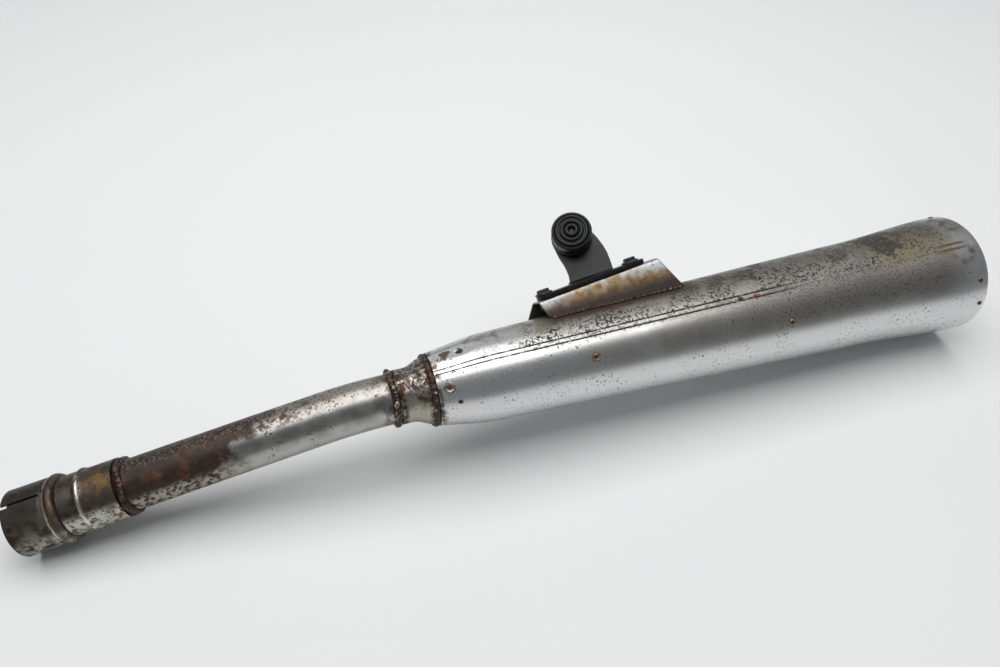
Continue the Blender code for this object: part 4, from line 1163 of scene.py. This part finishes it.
def socket_finish():
    look = Finish("socket_soot", (0.05, 0.042, 0.036), 0.36, 0.85)
    look.layer(look.noise(0.005, 5.0), roughness=0.5, height=0.00008)
    look.layer(look.noise(0.0012, 3.0), height=0.00003)
    middle = look.both(look.toward(120, 24, 50), look.patches(0.01, 0.34, 0.62, 5.0))
    look.layer(middle, (0.16, 0.145, 0.105), 0.36)
    low = look.toward(156, 20, 40)
    look.layer(look.both(low, look.patches(0.006, 0.34, 0.6, 5.0)), (0.36, 0.35, 0.3), 0.34)
    look.layer(look.patches(0.008, 0.5, 0.66, 6.0), (0.034, 0.024, 0.02), 0.5)
    look.layer(look.patches(0.002, 0.56, 0.66, 4.0), RUST_DARK, 0.6, metallic=0.4)
    mouth = -SOCKET_END
    fringe = look.both(look.step(look.run, mouth + 0.0075, mouth + 0.001), look.noise(0.002, 4.0))
    look.layer(fringe, SOOT_AND_SHADE, 0.6, metallic=0.3, height=0.00008)
    ring = look.span(-SOCKET_AT - 0.0062, -SOCKET_AT - 0.0022, 0.0008)
    look.layer(look.both(ring, look.noise(0.003, 4.0)), (0.078, 0.052, 0.03), 0.42, metallic=0.9)
    groove = look.span(-SOCKET_AT - 0.002, -SOCKET_AT - 0.0004, 0.0004)
    look.layer(look.both(groove, look.patches(0.004, 0.36, 0.6, 4.0)), (0.13, 0.09, 0.048))
    crest = look.span(-SOCKET_AT - 0.0068, -SOCKET_AT - 0.0056, 0.0005)
    # Bright rubbed metal on the collar's crest, kept to the side facing the viewer: partly wear, partly a
    # painted glint.
    rubbed_glint = look.both(crest, look.toward(90, 55, 80), look.patches(0.006, 0.32, 0.52))
    look.layer(rubbed_glint, (0.55, 0.53, 0.49), 0.26, metallic=1.0)
    return look.done()


def channel_finish():
    look = Finish("channel_heat_tint", (0.31, 0.3, 0.28), 0.36)
    look.layer(look.noise(0.005, 5.0), roughness=0.4, height=0.00003)
    look.layer(look.noise(0.0014, 3.0), height=0.00002)
    wide = look.math("ABSOLUTE", look.turn_sin)
    wide = look.math("ADD", wide, look.blur(0.1, 0.006))
    warmer = look.both(look.step(wide, 0.175, 0.235), look.span(0.104, 0.2, 0.012))
    look.layer(warmer, (0.2, 0.14, 0.08), 0.42, metallic=0.85)
    middle = look.span(0.106, 0.17, 0.014)
    upper = look.step(wide, 0.215, 0.165)
    amber = look.both(middle, look.patches(0.008, 0.4, 0.66, 8.0, warp=0.3))
    look.layer(amber, (0.2, 0.105, 0.042), 0.42)
    olive = look.both(look.patches(0.007, 0.46, 0.7, 8.0), look.span(0.115, 0.19, 0.02))
    look.layer(olive, (0.19, 0.165, 0.08), 0.4)
    look.layer(look.step(wide, 0.205, 0.275), (0.075, 0.048, 0.034), 0.5, metallic=0.6)
    look.layer(look.step(wide, 0.265, 0.315), (0.03, 0.02, 0.016), 0.55, metallic=0.4)
    ends = look.either(look.step(look.run, 0.112, 0.094), look.step(look.run, 0.15, 0.172))
    look.layer(look.both(upper, ends), (0.33, 0.35, 0.37), 0.34)
    specks = look.patches(0.0014, 0.62, 0.7, 4.0)
    look.layer(specks, RUST_DARK, 0.6, metallic=0.5, height=-0.00004)
    return look.done()


def crater_finish():
    look = Finish("crater_weld", (0.38, 0.34, 0.28), 0.3)
    look.layer(look.noise(0.0016, 4.0), roughness=0.5, height=0.0001)
    node = look.tree.nodes.new("ShaderNodeVectorMath")
    node.operation = "LENGTH"
    look.feed(node.inputs[0], look.point)
    core = look.step(node.outputs["Value"], 0.0024, 0.0013)
    look.layer(core, (0.09, 0.06, 0.042), 0.6, metallic=0.6)
    look.layer(look.patches(0.0012, 0.52, 0.64), (0.07, 0.045, 0.03), 0.6, metallic=0.5)
    return look.done()


def plain_finish(name, colour, roughness, metallic, grain, patches, specular=0.5, cad=False):
    """One finish all over: grain as (size, detail, roughness, height), patches as (patch, colour, ...)."""
    look = Finish(name, colour, roughness, metallic, cad)
    for size, detail, rough, height in grain:
        look.layer(look.noise(size, detail), roughness=rough, height=height)
    for patch, *cover in patches:
        look.layer(look.patches(*patch), *cover)
    return look.done(specular)


def bead_finish(name, glint):
    grain = ((0.004, 5.0, 0.52, 0.00016), (0.0013, 3.0, None, 0.00008))
    patches = (
        ((0.0055, 0.48, 0.66, 5.0), (0.11, 0.06, 0.034), 0.5),
        ((0.0028, 0.54, 0.66, 4.0), SOOT_AND_SHADE, 0.45),
        ((0.0038, glint, glint + 0.1, 4.0, 0.5), (0.4, 0.36, 0.31), 0.22, 1.0),
    )
    return plain_finish(name, (0.06, 0.042, 0.032), 0.36, 0.8, grain, patches)


def ridge_finish():
    patches = (
        ((0.003, 0.5, 0.62, 4.0), (0.06, 0.036, 0.024), 0.5),
        ((0.0022, 0.62, 0.7), (0.6, 0.57, 0.52), 0.2),
    )
    grain = ((0.003, 4.0, 0.46, 0.0001),)
    return plain_finish("ridge_weld", (0.15, 0.115, 0.085), 0.3, 1.0, grain, patches)


def black_finish():
    grain = ((0.006, 5.0, 0.42, 0.00003), (0.001, 3.0, None, 0.00001))
    patches = (
        ((0.0024, 0.62, 0.72, 4.0), (0.02, 0.019, 0.018), 0.5),
        ((0.005, 0.66, 0.74, 6.0), (0.045, 0.028, 0.02), 0.55),
    )
    return plain_finish("black_paint", BLACK, 0.3, 0.0, grain, patches, specular=0.3)


def zinc_finish(name, cad=False):
    patches = (((0.002, 0.58, 0.68, 4.0), (0.16, 0.13, 0.11), 0.5),)
    grain = ((0.003, 5.0, 0.52, 0.00005),)
    return plain_finish(name, (0.05, 0.048, 0.05), 0.36, 0.7, grain, patches, cad=cad)


def rubber_finish():
    grain = ((0.004, 5.0, 0.42, 0.00003), (0.0009, 3.0, None, 0.00001))
    patches = (((0.007, 0.5, 0.72, 5.0), (0.018, 0.018, 0.019), 0.5),)
    return plain_finish("black_rubber_skin", (0.008, 0.008, 0.009), 0.28, 0.0, grain, patches, specular=0.35)


def inner_finish(name, colour, metallic, cad=True):
    look = Finish(name, colour, 0.5, metallic, cad)
    look.layer(look.noise(0.004, 5.0), SOOT_AND_SHADE, 0.7, height=0.00008)
    look.layer(look.patches(0.006, 0.56, 0.66, 4.0), RUST_DARK)
    return look.done()


def floor_finish():
    look = Finish("pale_floor", (0.8, 0.81, 0.8), 0.62, 0.0, cad=True)
    look.layer(look.noise(0.35), (0.77, 0.785, 0.78), 0.7)
    return look.done(specular=0.25)


def dress(piece, material, slot):
    """Give a piece its finish, and put its placement into its vertices. Its slot is not used."""
    mesh = piece.data
    local = mesh.attributes.new("local", "FLOAT_VECTOR", "POINT")
    local.data.foreach_set("vector", [value for vertex in mesh.vertices for value in vertex.co])
    mesh.transform(piece.matrix_world)
    piece.matrix_world = Matrix()
    mesh.materials.clear()
    mesh.materials.append(material)


def dress_cad(names, material):
    for name in names:
        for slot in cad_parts[name].material_slots:
            slot.material = material


# ---------------------------------------------------------------- the scene

def make_beads():
    """Weld beads round the pipe: at the shell, at the bell's neck and at the sleeve, each with its glint."""
    pipe = PIPE_RADIUS + GAP
    bell = FRONT_RADIUS - SHELL_WALL - GAP
    lump = ((radians(125), 0.3),)
    lumps = ((radians(40), 0.35), (radians(122), 0.75), (radians(136), 0.6))
    return (
        (make_bead("shell", -0.002, bell - 0.0002, 0.0021, 0.0046, on_axis, 8.0, 17), 0.62),
        (make_bead("reducer", -NECK_AT - 0.003, pipe, 0.0028, 0.005, on_axis, 21.0, 13, lump), 0.54),
        (make_bead("sleeve", SLEEVE_AT - 0.003, pipe, 0.0022, 0.005, on_pipe, 31.0, 13, lumps), 0.62),
    )


def build_pieces():
    soot = inner_finish("tail_soot", DULL_STEEL, 0.7, cad=False)
    for pieces, material, slot in (
        ([make_shell(), make_seam()], shell_finish(), "worn_chrome"),
        ([make_pipe()], pipe_finish(), "rusty_pipe"),
        ([make_reducer()], reducer_finish(), "worn_chrome"),
        ([make_sleeve()], sleeve_finish(), "rusty_pipe"),
        ([make_socket()], socket_finish(), "rusty_socket"),
        (make_plug_welds(), crater_finish(), "weld_metal"),
        (make_tail(), soot, "inner_steel"),
        ([make_channel()], channel_finish(), "heat_stained_steel"),
        (make_channel_beads(), ridge_finish(), "weld_metal"),
        (make_stay(), black_finish(), "black_steel"),
        (make_bolts(), zinc_finish("dark_zinc_skin"), "dark_zinc"),
        ([make_stopper()], rubber_finish(), "black_rubber"),
    ):
        for piece in pieces:
            dress(piece, material, slot)
    for bead, glint in make_beads():
        dress(bead, bead_finish(f"{bead.name}_metal", glint), "weld_metal")
    inside = ("front_baffle_plate", "rear_baffle_plate", "perforated_diffuser_tube")
    dress_cad(("weld_nut_front", "weld_nut_rear"), zinc_finish("nut_zinc", cad=True))
    dress_cad(("inlet_joint_gasket",), inner_finish("gasket_skin", (0.1, 0.1, 0.105), 0.2))
    inner = inner_finish("inner_soot", DULL_STEEL, 0.7)
    dress_cad(inside + ("transfer_tube_lower", "transfer_tube_upper"), inner)


def build_floor():
    bpy.ops.mesh.primitive_plane_add(size=12.0, location=(0.0, 0.0, 0.0))
    floor = bpy.context.object
    floor.name = "studio_floor"
    floor.data.materials.append(floor_finish())
    floor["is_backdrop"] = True


def area_light(name, place, target, size, power, colour=(1.0, 1.0, 1.0)):
    """Soft box at a place, facing a target."""
    light = bpy.data.lights.new(name, "AREA")
    light.shape = "RECTANGLE"
    light.size, light.size_y = size
    light.energy = power
    light.color = colour
    lamp = bpy.data.objects.new(name, light)
    bpy.context.scene.collection.objects.link(lamp)
    lamp.location = place
    lamp.rotation_euler = (Vector(target) - Vector(place)).to_track_quat("-Z", "Y").to_euler()
    lamp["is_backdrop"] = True


def build_light():
    world = bpy.data.worlds.new("studio")
    world.use_nodes = True
    background = world.node_tree.nodes["Background"]
    background.inputs["Color"].default_value = (0.93, 0.96, 1.0, 1.0)
    background.inputs["Strength"].default_value = 0.22
    bpy.context.scene.world = world
    area_light("overhead_softbox", (0.0, 0.22, 1.7), (0.0, 0.0, 0.0), (2.4, 1.7), 36.0)
    area_light("far_side", (0.3, 2.6, 1.2), (0.0, 0.0, 0.1), (2.6, 1.2), 6.0)
    bpy.context.scene.view_settings.view_transform = "Standard"


def build_camera():
    data = bpy.data.cameras.new("photo_view")
    data.lens = 28.8
    data.sensor_width = 36.0
    camera = bpy.data.objects.new("photo_view", data)
    bpy.context.scene.collection.objects.link(camera)
    camera.location = (-0.14827, -0.3644, 0.47562)
    camera.rotation_euler = Euler((0.769682, -0.00505, -0.331332), "XYZ")
    bpy.context.scene.camera = camera


def note_sizes():
    """Put the CAD model's box and the dressed model's box side by side."""
    boxes = {"cad": CAD_BOX, "visual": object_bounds()}
    plain = {name: [list(corner) for corner in corners] for name, corners in boxes.items()}


build_pieces()
build_floor()
build_light()
build_camera()
note_sizes()
